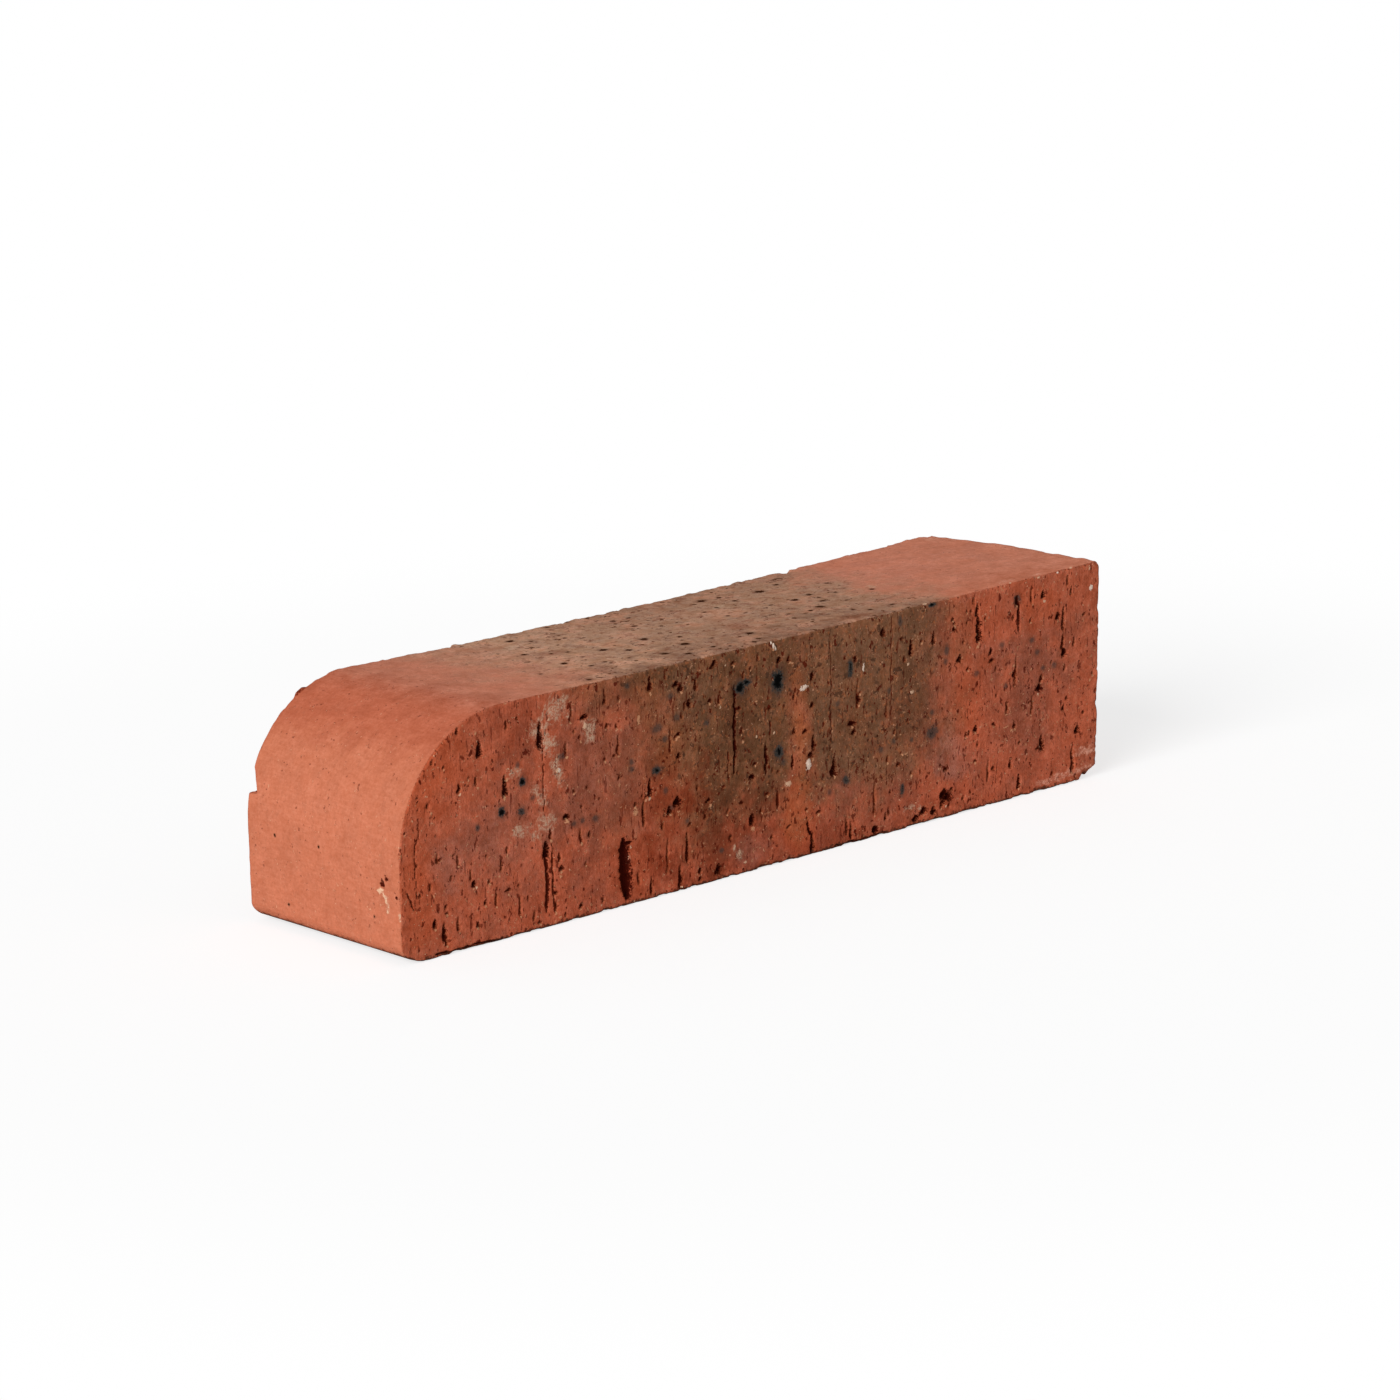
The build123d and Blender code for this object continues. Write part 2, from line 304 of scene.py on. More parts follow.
# Marks as fields over the surface. Each is 1 in a mark's middle, 0 at its rim and below 0 outside.

FAR_OUT = -2.0
LEAST_MARK = 0.72  # mm, the least width that the mesh can hold
TALL_MARKS = (1.2, 2.0)  # height by width from which a mark's sides straighten, and over how much more


def sized(mark):
    """A mark's place, width and height. A round one gives only its width."""
    return (*mark[:3], mark[2]) if len(mark) == 3 else mark[:4]


def mark_field(a, b, marks, ragged, taper=0.0):
    """Also gives a number of the mark that each point is nearest: its fifth one, or else its smaller size."""
    field = np.full(len(a), FAR_OUT)
    size = np.ones(len(a))
    for mark in marks:
        ma, mb, w, h, own = mark if len(mark) == 5 else (*sized(mark), min(sized(mark)[2:]))
        near = np.flatnonzero((np.abs(a - ma) < 1.6 * w + 1) & (np.abs(b - mb) < 1.6 * h + 1))
        v = (b[near] - mb) / (max(h, LEAST_MARK) / 2)
        u = (a[near] - ma) / (max(w, LEAST_MARK) / 2 * (1 - taper * np.clip(v, -1, 1)))
        squared = 1 + np.clip((h / w - TALL_MARKS[0]) / TALL_MARKS[1], 0, 1)
        inside = 1 - np.hypot(u, np.abs(v)**squared) + ragged[near]
        better = inside > field[near]
        field[near[better]] = inside[better]
        size[near[better]] = own
    return field, size


def distance_to_run(a, b, run):
    """How far points lie from a straight run, and where along it, from 0 to 1."""
    (pa, pb), (qa, qb) = run
    t = np.clip(((a - pa) * (qa - pa) + (b - pb) * (qb - pb)) / math.dist(*run)**2, 0, 1)
    return np.hypot(a - pa - t * (qa - pa), b - pb - t * (qb - pb)), t


def groove_field(a, b, grooves, ragged):
    """The same for grooves along lines, whose ends taper. Also gives each point's groove depth."""
    field = np.full(len(a), FAR_OUT)
    depth = np.zeros(len(a))
    for width, deep, line in grooves:
        runs = list(zip(line[:-1], line[1:]))
        length = sum(math.dist(*run) for run in runs)
        done = 0.0
        for run in runs:
            away, t = distance_to_run(a, b, run)
            near = np.flatnonzero(away < width + 1)
            along = (done + t[near] * math.dist(*run)) / length
            half = width / 2 * (0.55 + 0.45 * smooth(np.minimum(along, 1 - along), 0, 0.2))
            inside = 1 - away[near] / half + ragged[near]
            better = inside > field[near]
            field[near[better]] = inside[better]
            depth[near[better]] = deep
            done += math.dist(*run)
    return field, depth


def strewn(count, seed, widths, stretch, edge=2.0):
    """Random marks over a wire-cut face: x, z, width, height. Stretch is how much taller than wide."""
    rng = np.random.default_rng(seed)
    x = rng.uniform(-HALF_LENGTH + edge, HALF_LENGTH - edge, count)
    z = rng.uniform(edge, HEIGHT - edge, count)
    width = widths[0] + (widths[1] - widths[0]) * rng.random(count)**2
    height = width * (stretch[0] + (stretch[1] - stretch[0]) * rng.random(count)**2)
    return [tuple(row) for row in np.stack([x, z, width, height], 1)]


def grains_under(pits, seed, share):
    """Small grains at the lower ends of some of the pits."""
    rng = np.random.default_rng(seed)
    return [(x + rng.normal(0, 0.1), z - h / 2 - 0.25, rng.uniform(.5, .9), rng.uniform(.5, .9))
            for x, z, _, h in pits if rng.random() < share]


# What each wire-cut face holds
CutMarks = namedtuple("CutMarks", "pits grooves white_grains cream_grains ochre_grains iron_spots bloom")
PITS_WITH_GRAINS = 0.34  # share of the pits
SMALL_FRONT_PITS = strewn(75, 5, (.4, .8), (.8, 3.5))
ALL_FRONT_PITS = [*FRONT_PITS, *SMALL_FRONT_PITS]
FRONT = CutMarks(
    ALL_FRONT_PITS, FRONT_GROOVES, FRONT_WHITE_GRAINS, FRONT_CREAM_GRAINS,
    [*FRONT_OCHRE_GRAINS, *grains_under(ALL_FRONT_PITS, 6, PITS_WITH_GRAINS)],
    FRONT_IRON_SPOTS, FRONT_BLOOM)
BACK_PITS = strewn(150, 11, (.6, 1.9), (.9, 4)) + strewn(110, 12, (.45, .85), (.8, 3))
BACK_GROOVES = (
    (.8, 1.1, ((-88, 47), (-87.8, 38), (-88.2, 30))), (1, 1, ((-31, 19), (-30.7, 7))),
    (.5, .7, ((-2, 55), (-2.3, 43))), (2.6, 2, ((41, 20), (41.4, 15), (41.1, 9))),
    (.5, .7, ((70, 31), (70.2, 20))), (.8, 1, ((97, 50), (97.4, 41))),
)
BACK = CutMarks(
    BACK_PITS, BACK_GROOVES, strewn(12, 13, (.6, 1.7), (.7, 1.5)), strewn(18, 18, (.6, 1.3), (.7, 1.4)),
    strewn(30, 14, (.7, 1.3), (.7, 1.3)) + grains_under(BACK_PITS, 17, PITS_WITH_GRAINS),
    [(*spot, max(spot[2] - 1.4, 0) / 3) for spot in strewn(34, 15, (1.1, 3.4), (.9, 1.3))],
    strewn(12, 16, (2, 5), (.6, 1.4)))


# The brick's shape

CELL = 2.74  # mm, side of the first grid's cells; each refining halves it
FINE, MEDIUM, PLAIN, COARSE = CELL / 8, CELL / 4, CELL / 2, CELL
MARK_ROOM = 0.45  # mm round a mark that gets fine cells too
MEDIUM_BAND, FINE_BAND, CHIP_BAND = 1.4, 1.0, 5.0  # mm from an arris: anywhere, at the front, by the ledge
LEDGE_ROOM = 7.0  # mm along the brick that get fine cells by the ledge
# Long corners of the outline: side along X, side up Z, radius along X, radius up Z, how much more at the back
CORNERS = ((-1, 1, 35.0, 35.0, 0.0), (-1, -1, 9.0, 5.0, 0.0), (1, -1, 2.6, 2.0, 0.0), (1, 1, 3.0, 2.3, 3.2))


def box_of_cells():
    """Six grids, one on each side of the brick's box, merged along its edges."""
    bm = bmesh.new()
    size = (LENGTH, DEPTH, HEIGHT)
    middle = (low + high) / 2
    cells = [round(s / CELL) for s in size]
    for axis in range(3):
        u, v = (axis + 1) % 3, (axis + 2) % 3
        for side in (-1, 1):
            place = np.eye(4)
            place[:3, 0] = np.eye(3)[u] * size[u] / 2
            place[:3, 1] = np.eye(3)[v] * size[v] / 2
            place[:3, 2] = np.eye(3)[axis]
            place[:3, 3] = middle
            place[axis, 3] += side * size[axis] / 2
            bmesh.ops.create_grid(bm, x_segments=cells[u], y_segments=cells[v], size=1,
                                  matrix=Matrix(place.tolist()))
    bmesh.ops.remove_doubles(bm, verts=bm.verts, dist=0.01)
    bmesh.ops.recalc_face_normals(bm, faces=bm.faces)
    return bm


def near_marks(a, b, families, room):
    """Which points lie inside a mark of any family or within the given room of one."""
    hit = np.zeros(len(a), bool)
    for marks in families:
        for mark in marks:
            ma, mb, w, h = sized(mark)
            hit |= (np.abs(a - ma) < w / 2 + room) & (np.abs(b - mb) < h / 2 + room)
    return hit


def near_grooves(a, b, grooves, room):
    hit = np.zeros(len(a), bool)
    for width, _, line in grooves:
        for run in zip(line[:-1], line[1:]):
            hit |= distance_to_run(a, b, run)[0] < width / 2 + room
    return hit


def wanted_cell(points, normals, cell):
    """The cell size that each place of the box needs, in mm."""
    x, y, z = points.T
    cut = np.abs(normals[:, 1]) > 0.5
    rounded = ~cut & (x < CORNERS[0][2] - HALF_LENGTH) & (z > HEIGHT - CORNERS[0][3])
    want = np.full(len(points), COARSE)
    want[rounded | (cut & (y > 0))] = PLAIN
    want[cut & (y < 0)] = MEDIUM

    # The arrises and the small corners
    edge = np.minimum(np.minimum(x + HALF_LENGTH, HALF_LENGTH - x), np.minimum(z, HEIGHT - z))
    arris = np.where(cut, edge, HALF_DEPTH - np.abs(y))
    medium = arris < MEDIUM_BAND
    for sx, sz, rx, rz, _ in CORNERS[1:]:
        medium |= (sx * x > HALF_LENGTH - rx - 1) & (sz * (z - HEIGHT / 2) > HEIGHT / 2 - rz - 1)
    want[medium] = np.minimum(want, MEDIUM)[medium]
    want[(arris < FINE_BAND) & (y < 0)] = FINE
    by_ledge = np.abs(z - LEDGE[0] - LEDGE[1] / 2) < LEDGE[1] / 2 + 1
    want[(arris < CHIP_BAND) & (y > 0) & (x < -HALF_LENGTH + LEDGE_ROOM) & by_ledge] = FINE

    # The marks
    room = MARK_ROOM + cell * 0.6
    i = np.flatnonzero(cut & (y < 0))
    flat_marks = (FRONT.white_grains, FRONT.cream_grains, SMALL_FRONT_PITS, FRONT.iron_spots)
    hit = near_marks(x[i], z[i], (FRONT_PITS,), room) | near_grooves(x[i], z[i], FRONT.grooves, room)
    want[i[hit | near_marks(x[i], z[i], flat_marks, room - 0.2)]] = FINE
    i = np.flatnonzero(cut & (y > 0))
    hit = near_marks(x[i], z[i], (BACK.pits,), room) | near_grooves(x[i], z[i], BACK.grooves, room)
    want[i[hit]] = MEDIUM
    i = np.flatnonzero(normals[:, 0] < -0.5)
    hit = near_marks(y[i], z[i], (END_HOLES, END_SPECKS, END_GRAINS), room)
    want[i[hit]] = FINE
    want[i[near_marks(y[i], z[i], (END_BLOOM,), room) & ~hit]] = MEDIUM
    i = np.flatnonzero(normals[:, 2] > 0.5)
    want[i[near_marks(x[i], y[i], (TOP_SPECKS,), room)]] = FINE
    return want


def refine(bm):
    """Halves the cells, three times over, wherever finer ones are wanted."""
    for cell in (PLAIN, MEDIUM, FINE):
        bm.normal_update()
        centres = np.array([f.calc_center_median() for f in bm.faces])
        normals = np.array([f.normal for f in bm.faces])
        areas = np.array([f.calc_area() for f in bm.faces])
        split = (wanted_cell(centres, normals, cell) < cell * 1.1) & (areas > cell * cell * 1.6)
        edges = {edge for face, chosen in zip(bm.faces, split) if chosen for edge in face.edges}
        bmesh.ops.subdivide_edges(bm, edges=sorted(edges, key=lambda edge: edge.index), cuts=1,
                                  use_grid_fill=True)
        bm.edges.index_update()
        bm.faces.ensure_lookup_table()


def round_outline(points):
    """Rounds the box's long corners. Returns the moved points, how far each lies inside the outline,
    and the direction in XZ that leads inwards from the outline there."""
    points = points.copy()
    x, y, z = points.T.copy()
    back_half = smooth(y, 0, HALF_DEPTH)
    gaps = np.stack([x + HALF_LENGTH, HALF_LENGTH - x, z, HEIGHT - z])
    inward = np.array([(1, 0), (-1, 0), (0, 1), (0, -1)], float)[gaps.argmin(0)]
    inside = gaps.min(0)
    for sx, sz, rx, rz, more in CORNERS:
        by_corner = (sx * x > HALF_LENGTH - rx - more) & (sz * (z - HEIGHT / 2) > HEIGHT / 2 - rz - more)
        here = np.flatnonzero(by_corner)
        rx, rz = (radius + more * back_half[here] for radius in (rx, rz))
        cx = sx * (HALF_LENGTH - rx)
        cz = HEIGHT / 2 + sz * (HEIGHT / 2 - rz)
        u, v = (x[here] - cx) * sx / rx, (z[here] - cz) * sz / rz
        bent = (u > 0) & (v > 0)
        here, u, v, rx, rz, cx, cz = (values[bent] for values in (here, u, v, rx, rz, cx, cz))
        u, v = np.minimum(u, 1), np.minimum(v, 1)
        ru, rv = u * np.sqrt(1 - v * v / 2), v * np.sqrt(1 - u * u / 2)
        points[here, 0] = cx + sx * ru * rx
        points[here, 2] = cz + sz * rv * rz
        radius = np.maximum(np.hypot(ru, rv), 1e-6)
        slope = np.stack([ru / rx, rv / rz], 1) / radius[:, None]
        steep = np.hypot(*slope.T)
        inside[here] = (1 - radius) / steep
        inward[here] = -slope / steep[:, None] * (sx, sz)
    return points, inside, inward


# The blunt arrises: their radius, its waves and its limits, in mm
ARRIS_RADIUS = 0.85
ARRIS_WAVES = (((8, 30, 8), 1, 0.35), ((2, 9, 2), 2, 0.2))
ARRIS_RADII = (0.3, 1.5)
ARRIS_BAND = 6.0  # mm from an arris within which it can be broken
# and the wear on top of that: everywhere, in bites and in nibbles, each with its blobs' size
LEAST_WEAR = 0.22
BITE, BITE_SIZE = 0.55, (5, 9, 5)
NIBBLE, NIBBLE_SIZE = 0.32, (1.7, 3, 1.7)
CRISP_BACK = (-95, -70)  # the back arris of the round is less worn than the rest: x where that ends
BROKEN_FOOT_TOP = (3.6, 2.2)  # z over which the broken foot ends
DIAGONAL = math.sqrt(2)


def arris_wear(points, side):
    """How much of the sharp arris is gone, in mm along its diagonal."""
    x, _, z = points.T
    wear = LEAST_WEAR + BITE * np.maximum(noise(points, BITE_SIZE, 3), 0)**1.4
    wear += NIBBLE * np.maximum(noise(points, NIBBLE_SIZE, 4), -0.2) + 0.10 * noise(points, 0.8, 5)
    wear *= np.where(side > 0, 0.5 + 0.8 * smooth(x, *CRISP_BACK), 1.0) * (1 + 0.7 * smooth(z, 8, 0))

    # Chips, each a scoop with a bent outline, lumpy where it is deep
    bent, lumpy, rough = 1 + 0.25 * noise(points, 2, 6), noise(points, 2.2, 27), noise(points, 0.9, 7)
    for chip_side, cx, cz, length, depth in CHIPS:
        away = np.hypot(x - cx, z - cz) / (length / 2) * bent
        scoop = depth * (1 - away**2) + (0.2 + 0.2 * depth) * lumpy + 0.2 * rough
        wear = np.where((side == chip_side) & (away < 1.15), np.maximum(wear, scoop), wear)

    # The broken foot at the front right, and the flake above the ledge at the back left
    foot = np.interp(x, *BROKEN_FOOT) * smooth(z, *BROKEN_FOOT_TOP) + 0.15 * rough
    wear = np.where((side < 0) & (x > BROKEN_FOOT[0][0]) & (z < 4), np.maximum(wear, foot), wear)
    ledge, tall, deep = LEDGE
    flake = deep * smooth(z, ledge - 0.3, ledge + 0.3) * np.clip(1 - (z - ledge) / tall, 0, 1)
    flake += 0.2 * noise(points, 1.4, 7)
    flaked = (side > 0) & (x < 0) & (z > ledge - 0.5) & (z < ledge + tall)
    return np.where(flaked, np.maximum(wear, flake), wear)


def shape_brick(points):
    """Moves the points of the box onto the brick. Returns them and the fields that the material reads."""
    side = np.sign(points[:, 1])
    cut_gap = HALF_DEPTH - np.abs(points[:, 1])
    nominal, inside, inward = round_outline(points)

    # Blunted arrises, then what is broken off them
    radius = np.clip(ARRIS_RADIUS + waves(nominal, ARRIS_WAVES), *ARRIS_RADII)
    near = (inside < radius) & (cut_gap < radius)
    du, dv = inside - radius, cut_gap - radius
    reach = np.maximum(np.hypot(du, dv), 1e-6)
    new_inside = np.where(near, radius + du / reach * radius, inside)
    new_gap = np.where(near, radius + dv / reach * radius, cut_gap)
    gone = arris_wear(nominal, side) - (new_inside + new_gap) / DIAGONAL
    gone = np.maximum(np.where((inside < ARRIS_BAND) & (cut_gap < ARRIS_BAND), gone, 0), 0)
    new_inside += gone / DIAGONAL
    new_gap += gone / DIAGONAL

    # Relief, as a depth along the direction that leads into the brick
    depth, fields = relief(nominal, side, inside, cut_gap, inward)
    share = cut_gap / np.maximum(inside + cut_gap, 1e-6)
    length = np.maximum(np.hypot(share, 1 - share), 1e-6)
    new_inside += depth * np.where(cut_gap > 0, share, 0) / length
    new_gap += depth * np.where(inside > 0, 1 - share, np.where(cut_gap > 0, 0, 0.7)) / length

    moved = nominal.copy()
    moved[:, 0] += inward[:, 0] * (new_inside - inside)
    moved[:, 2] += inward[:, 1] * (new_inside - inside)
    moved[:, 1] -= side * (new_gap - cut_gap)
    fields["cut_side"] = np.clip(inside - cut_gap, -4, 4)
    fields["chipped"] = np.clip(gone, 0, 2)
    return fire_warp(moved), fields


# Relief, in mm: how far marks sink or stand out. Waves have their blobs' size, their turn and their height.
SPECK_BURNT = 0.75  # how much of the specks on the die's skin is black
# Painted shadow: a small pit's dark part is moved up and to the left, away from the light, so that its lower
# right shows as a painted lit lip.
SHADE_SHIFT = 0.16  # by which a small pit's dark part lies up and to the left of its middle, off its lit lip
PIT_TAPER = 0.45  # how much narrower pits are at the top than at the foot
PIT_DEPTH, PIT_DEPTHS = 0.85, (0.35, 1.9)  # depth by width, and the least and the greatest depth
HOLE_DEPTH, HOLE_DEEP = 0.9, 0.8
GRAIN_LIFTS = {"white_grain": 0.18, "cream_grain": 0.16, "ochre_grain": 0.14}
END_GRAIN_LIFT = 0.14
FACE_DROP = 0.1  # by which all faces lie below their nominal places
CUT_WAVES = (((38, 38, 30), 14, 0.16), ((9, 9, 14), 15, 0.08), ((1.3, 2, 5), 16, 0.045), (0.9, 17, 0.03))
SKIN_WAVES = (((45, 60, 45), 18, 0.10), ((5, 30, 5), 19, 0.03))
RIMS_ALONG, RIMS_UP = ((1.4, 8, 0.28), (0.7, 9, 0.14)), ((1.7, 10, 0.45), (0.8, 11, 0.16))
RIMS_ACROSS = ((1.2, 12, 0.2),)
RAGGED = 0.22  # share of a mark's half width by which its rim is ragged
FACE_BAND = 0.6  # from a face within which a point belongs to it
CUT_EDGE = 0.3  # from a cut within which the die's skin holds no marks
SWOLLEN_CORNER = ((117, 121), (53, 57), 0.5)  # x and z over which the right end of the top swells, and height
CRUMBLE, CRUMBLE_SIZE, CRUMBLE_BAND = 0.42, (2.6, 5, 2.6), (1.8, 0.2)  # crumbs along the arrises
ON_FACE = 0.97  # how straight the way in has to lead for a point to lie on a flat face
FOOT_ALONG = (118.6, 120.4)  # x over which the underside under the broken foot drops away
FOOT_RISE = 1.6
MARK_NAMES = ("torn_and_shaded", "lit_lip", "iron", "white_grain", "cream_grain", "ochre_grain", "bloom")


def raise_field(fields, name, where, values):
    fields[name][where] = np.maximum(fields[name][where], values)


def mark_cut_face(i, x, z, a, b, ragged, marks, fields, depth):
    """Sinks the pits and grooves of one wire-cut face, lifts its grains and notes all its marks."""
    x, z, a, b, ragged = (values[i] for values in (x, z, a, b, ragged))
    pit, size = mark_field(a, b, marks.pits, ragged, PIT_TAPER)
    groove, deep = groove_field(a, b, marks.grooves, ragged)
    pit_depth = np.clip(PIT_DEPTH * size + 0.15, *PIT_DEPTHS) * smooth(pit, -0.2, 0.45)
    depth[i] = np.maximum(pit_depth, deep * smooth(groove, -0.15, 0.5))
    in_groove = groove > pit
    # Painted light and shade: the lip field covers the whole mark and is painted lighter as lit; for small
    # pits the dark field is shifted as painted shadow.
    raise_field(fields, "lit_lip", i, np.maximum(pit, groove) - 0.35 * smooth(deep, 0.8, 1.4) * in_groove)
    shaded, _ = mark_field(a + SHADE_SHIFT, b - SHADE_SHIFT, marks.pits, ragged, PIT_TAPER)
    raise_field(fields, "torn_and_shaded", i, np.maximum(np.where(size < 2, shaded, pit), groove))
    fields["deep"][i] = np.where(in_groove, smooth(deep, 0.2, 1.1), smooth(size, 0.4, 1.4))
    grains = (marks.white_grains, marks.cream_grains, marks.ochre_grains)
    for (name, lift), family in zip(GRAIN_LIFTS.items(), grains):
        grain, _ = mark_field(a, b, family, ragged)
        raise_field(fields, name, i, grain)
        depth[i] -= lift * smooth(grain, 0, 0.6)
    spot, fields["burnt"][i] = mark_field(x, z, marks.iron_spots, 0.6 * ragged)
    raise_field(fields, "iron", i, spot)
    raise_field(fields, "bloom", i, mark_field(x, z, marks.bloom, 2 * ragged)[0])


def mark_top(i, x, y, ragged, fields):
    x, y, ragged = (values[i] for values in (x, y, ragged))
    raise_field(fields, "iron", i, mark_field(x, y, TOP_SPECKS, 1.2 * ragged)[0])
    raise_field(fields, "bloom", i, mark_field(x, y, TOP_BLOOM, 2 * ragged)[0])
    fields["burnt"][i] = SPECK_BURNT


def mark_end(i, y, z, c, b, ragged, fields, depth):
    y, z, c, b, ragged = (values[i] for values in (y, z, c, b, ragged))
    hole, _ = mark_field(c, b, END_HOLES, ragged)
    grain, _ = mark_field(c, b, END_GRAINS, ragged)
    depth[i] += HOLE_DEPTH * smooth(hole, -0.05, 0.4)
    depth[i] -= END_GRAIN_LIFT * smooth(grain, 0, 0.6)
    raise_field(fields, "torn_and_shaded", i, hole)
    raise_field(fields, "cream_grain", i, grain)
    raise_field(fields, "bloom", i, mark_field(c, b, END_BLOOM, 2 * ragged)[0] - 0.2)
    raise_field(fields, "iron", i, mark_field(y, z, END_SPECKS, 1.5 * ragged)[0])
    fields["deep"][i] = HOLE_DEEP
    fields["burnt"][i] = SPECK_BURNT


def relief(points, side, inside, cut_gap, inward):
    """How deep each point lies below its smooth face, and the fields that the material reads."""
    x, y, z = points.T
    cut = (cut_gap < FACE_BAND) | (inside > cut_gap)
    die = inside < FACE_BAND
    fields = {name: np.full(len(points), FAR_OUT) for name in MARK_NAMES}
    depth, fields["deep"], fields["burnt"] = (np.zeros(len(points)) for _ in range(3))

    # Marks have ragged rims, from shifting where they are looked up
    a = x + waves(points, RIMS_ALONG)
    b = z + waves(points, RIMS_UP)
    c = y + waves(points, RIMS_ACROSS)
    ragged = RAGGED * noise(points, 0.9, 13)
    for face, marks in ((cut & (side < 0), FRONT), (cut & (side > 0), BACK)):
        mark_cut_face(np.flatnonzero(face), x, z, a, b, ragged, marks, fields, depth)
    off_cut = die & ~(cut_gap < CUT_EDGE)
    mark_top(np.flatnonzero(off_cut & (inward[:, 1] < -ON_FACE)), x, y, ragged, fields)
    mark_end(np.flatnonzero(off_cut & (inward[:, 0] > ON_FACE)), y, z, c, b, ragged, fields, depth)

    # Slow waves, the swollen corner of the top at the right, the burr and the crumbled arrises
    depth += np.where(cut, waves(points, CUT_WAVES), waves(points, SKIN_WAVES)) + FACE_DROP
    over_x, over_z, swelling = SWOLLEN_CORNER
    corner = swelling * smooth(x, *over_x) * smooth(z, *over_z)
    depth -= np.where(cut, 0, corner * np.maximum(noise(points, (2.5, 3.5, 2.5), 22), 0))
    burr_x, burr_z, burr_length, burr_height = BURR
    burr = smooth(np.hypot(x - burr_x, z - burr_z) / burr_length * 2, 1, 0.3)
    burr *= (side > 0) * smooth(cut_gap, 2.5, 0.5)
    depth -= burr_height * burr * (die | (cut_gap < FACE_BAND))
    raise_field(fields, "torn_and_shaded", slice(None), np.where(burr > 0.2, 0.1, FAR_OUT))
    crumbs = CRUMBLE * np.maximum(noise(points, CRUMBLE_SIZE, 20), 0) + 0.1 * noise(points, 1.1, 21)
    depth -= smooth(np.maximum(inside, cut_gap), *CRUMBLE_BAND) * crumbs

    # The underside stays flat, but under the broken corner it is gone too
    under = inward[:, 1] * die > ON_FACE
    foot = (side < 0) * smooth(x, *FOOT_ALONG) * smooth(cut_gap, *FOOT_ROOM) * under
    return np.where(under, np.maximum(depth, 0) * 0.5 + FOOT_RISE * foot, depth), fields


# Firing left the corners a little out of true: how far each of the eight moved, in mm, and how far the middle
# of each long edge rose.
CORNER_SHIFTS = {
    (-1, -1, 0): (-1.05, 0.32, 0), (-1, -1, 1): (0, 0.33, 1.6), (-1, 1, 0): (0.22, -1.6, 0),
    (-1, 1, 1): (1.6, -0.38, 1.24), (1, -1, 0): (-1.6, 1.46, 0), (1, -1, 1): (0, 0.12, 1.52),
    (1, 1, 0): (0, 0, 0), (1, 1, 1): (0.78, -0.38, 0.82),
}
MIDDLE_RISE = {(-1, 0): -0.1, (-1, 1): -0.94, (1, 0): 0.0, (1, 1): -1.75}


def fire_warp(points):
    u = points[:, 0] / LENGTH + 0.5
    v = points[:, 1] / DEPTH + 0.5
    w = points[:, 2] / HEIGHT
    moved = points.copy()
    for (sx, sy, sz), shift in CORNER_SHIFTS.items():
        weight = (u if sx > 0 else 1 - u) * (v if sy > 0 else 1 - v) * (w if sz else 1 - w)
        moved += weight[:, None] * np.array(shift)
    for (sy, sz), rise in MIDDLE_RISE.items():
        moved[:, 2] += rise * 4 * u * (1 - u) * (v if sy > 0 else 1 - v) * (w if sz else 1 - w)
    moved[:, 2] = np.maximum(moved[:, 2], 0)
    return moved


def make_brick():
    bm = box_of_cells()
    refine(bm)
    bmesh.ops.triangulate(bm, faces=[f for f in bm.faces if len(f.verts) > 4])
    mesh = bpy.data.meshes.new("fired_brick")
    bm.to_mesh(mesh)
    bm.free()
    points = np.empty(len(mesh.vertices) * 3, np.float32)
    mesh.vertices.foreach_get("co", points)
    shaped, fields = shape_brick(points.reshape(-1, 3).astype(float))
    mesh.vertices.foreach_set("co", (shaped * MM).astype(np.float32).ravel())
    for name, values in fields.items():
        attribute = mesh.attributes.new(name, "FLOAT", "POINT")
        attribute.data.foreach_set("value", values.astype(np.float32))
    mesh.shade_smooth()
    mesh.update()
    brick = bpy.data.objects.new("fired_brick", mesh)
    bpy.context.collection.objects.link(brick)
    return brick


# Node helpers. Those without a tree among their inputs find it from the sockets that they are given.

def put(tree, kind, **settings):
    """A new node with the given settings."""
    node = tree.nodes.new(kind)
    for name, value in settings.items():
        setattr(node, name, value)
    return node


def is_socket(value):
    return isinstance(value, bpy.types.NodeSocket)


def feed(socket, value):
    """Links another node's output to the socket, or sets the socket to a plain value."""
    if is_socket(value):
        socket.id_data.links.new(value, socket)
    elif value is not None:
        socket.default_value = value


def fed(kind, *values, sockets=None, **settings):
    """A new node whose sockets, the first ones unless others are named, are fed the values in turn."""
    node = put(next(value.id_data for value in values if is_socket(value)), kind, **settings)
    for socket, value in zip([node.inputs[key] for key in sockets] if sockets else node.inputs, values):
        feed(socket, value)
    return node


def maths(operation, *values):
    return fed("ShaderNodeMath", *values, operation=operation).outputs[0]


def plus(first, second):
    return maths("ADD", first, second)


def minus(first, second):
    return maths("SUBTRACT", first, second)


def times(first, *others):
    for other in others:
        first = maths("MULTIPLY", first, other)
    return first


def scaled(value, factor, offset):
    """The value times the factor, plus the offset."""
    return maths("MULTIPLY_ADD", value, factor, offset)


def vectors(operation, *values):
    """The outputs of a Vector Math node: a vector, then a value."""
    return fed("ShaderNodeVectorMath", *values, operation=operation).outputs


def parts(vector):
    return fed("ShaderNodeSeparateXYZ", vector).outputs


def blended(share, first, second, mode="MIX"):
    """The first colour with a share of the second over it."""
    first, second = ((*value, 1) if isinstance(value, tuple) else value for value in (first, second))
    node = fed("ShaderNodeMix", share, first, second, sockets=(0, 6, 7), data_type="RGBA", blend_type=mode)
    return node.outputs[2]


def step(value, start, end, low=0.0, high=1.0):
    """Low before start, high past end, and a soft step between."""
    return fed("ShaderNodeMapRange", value, start, end, low, high, interpolation_type="SMOOTHSTEP").outputs[0]


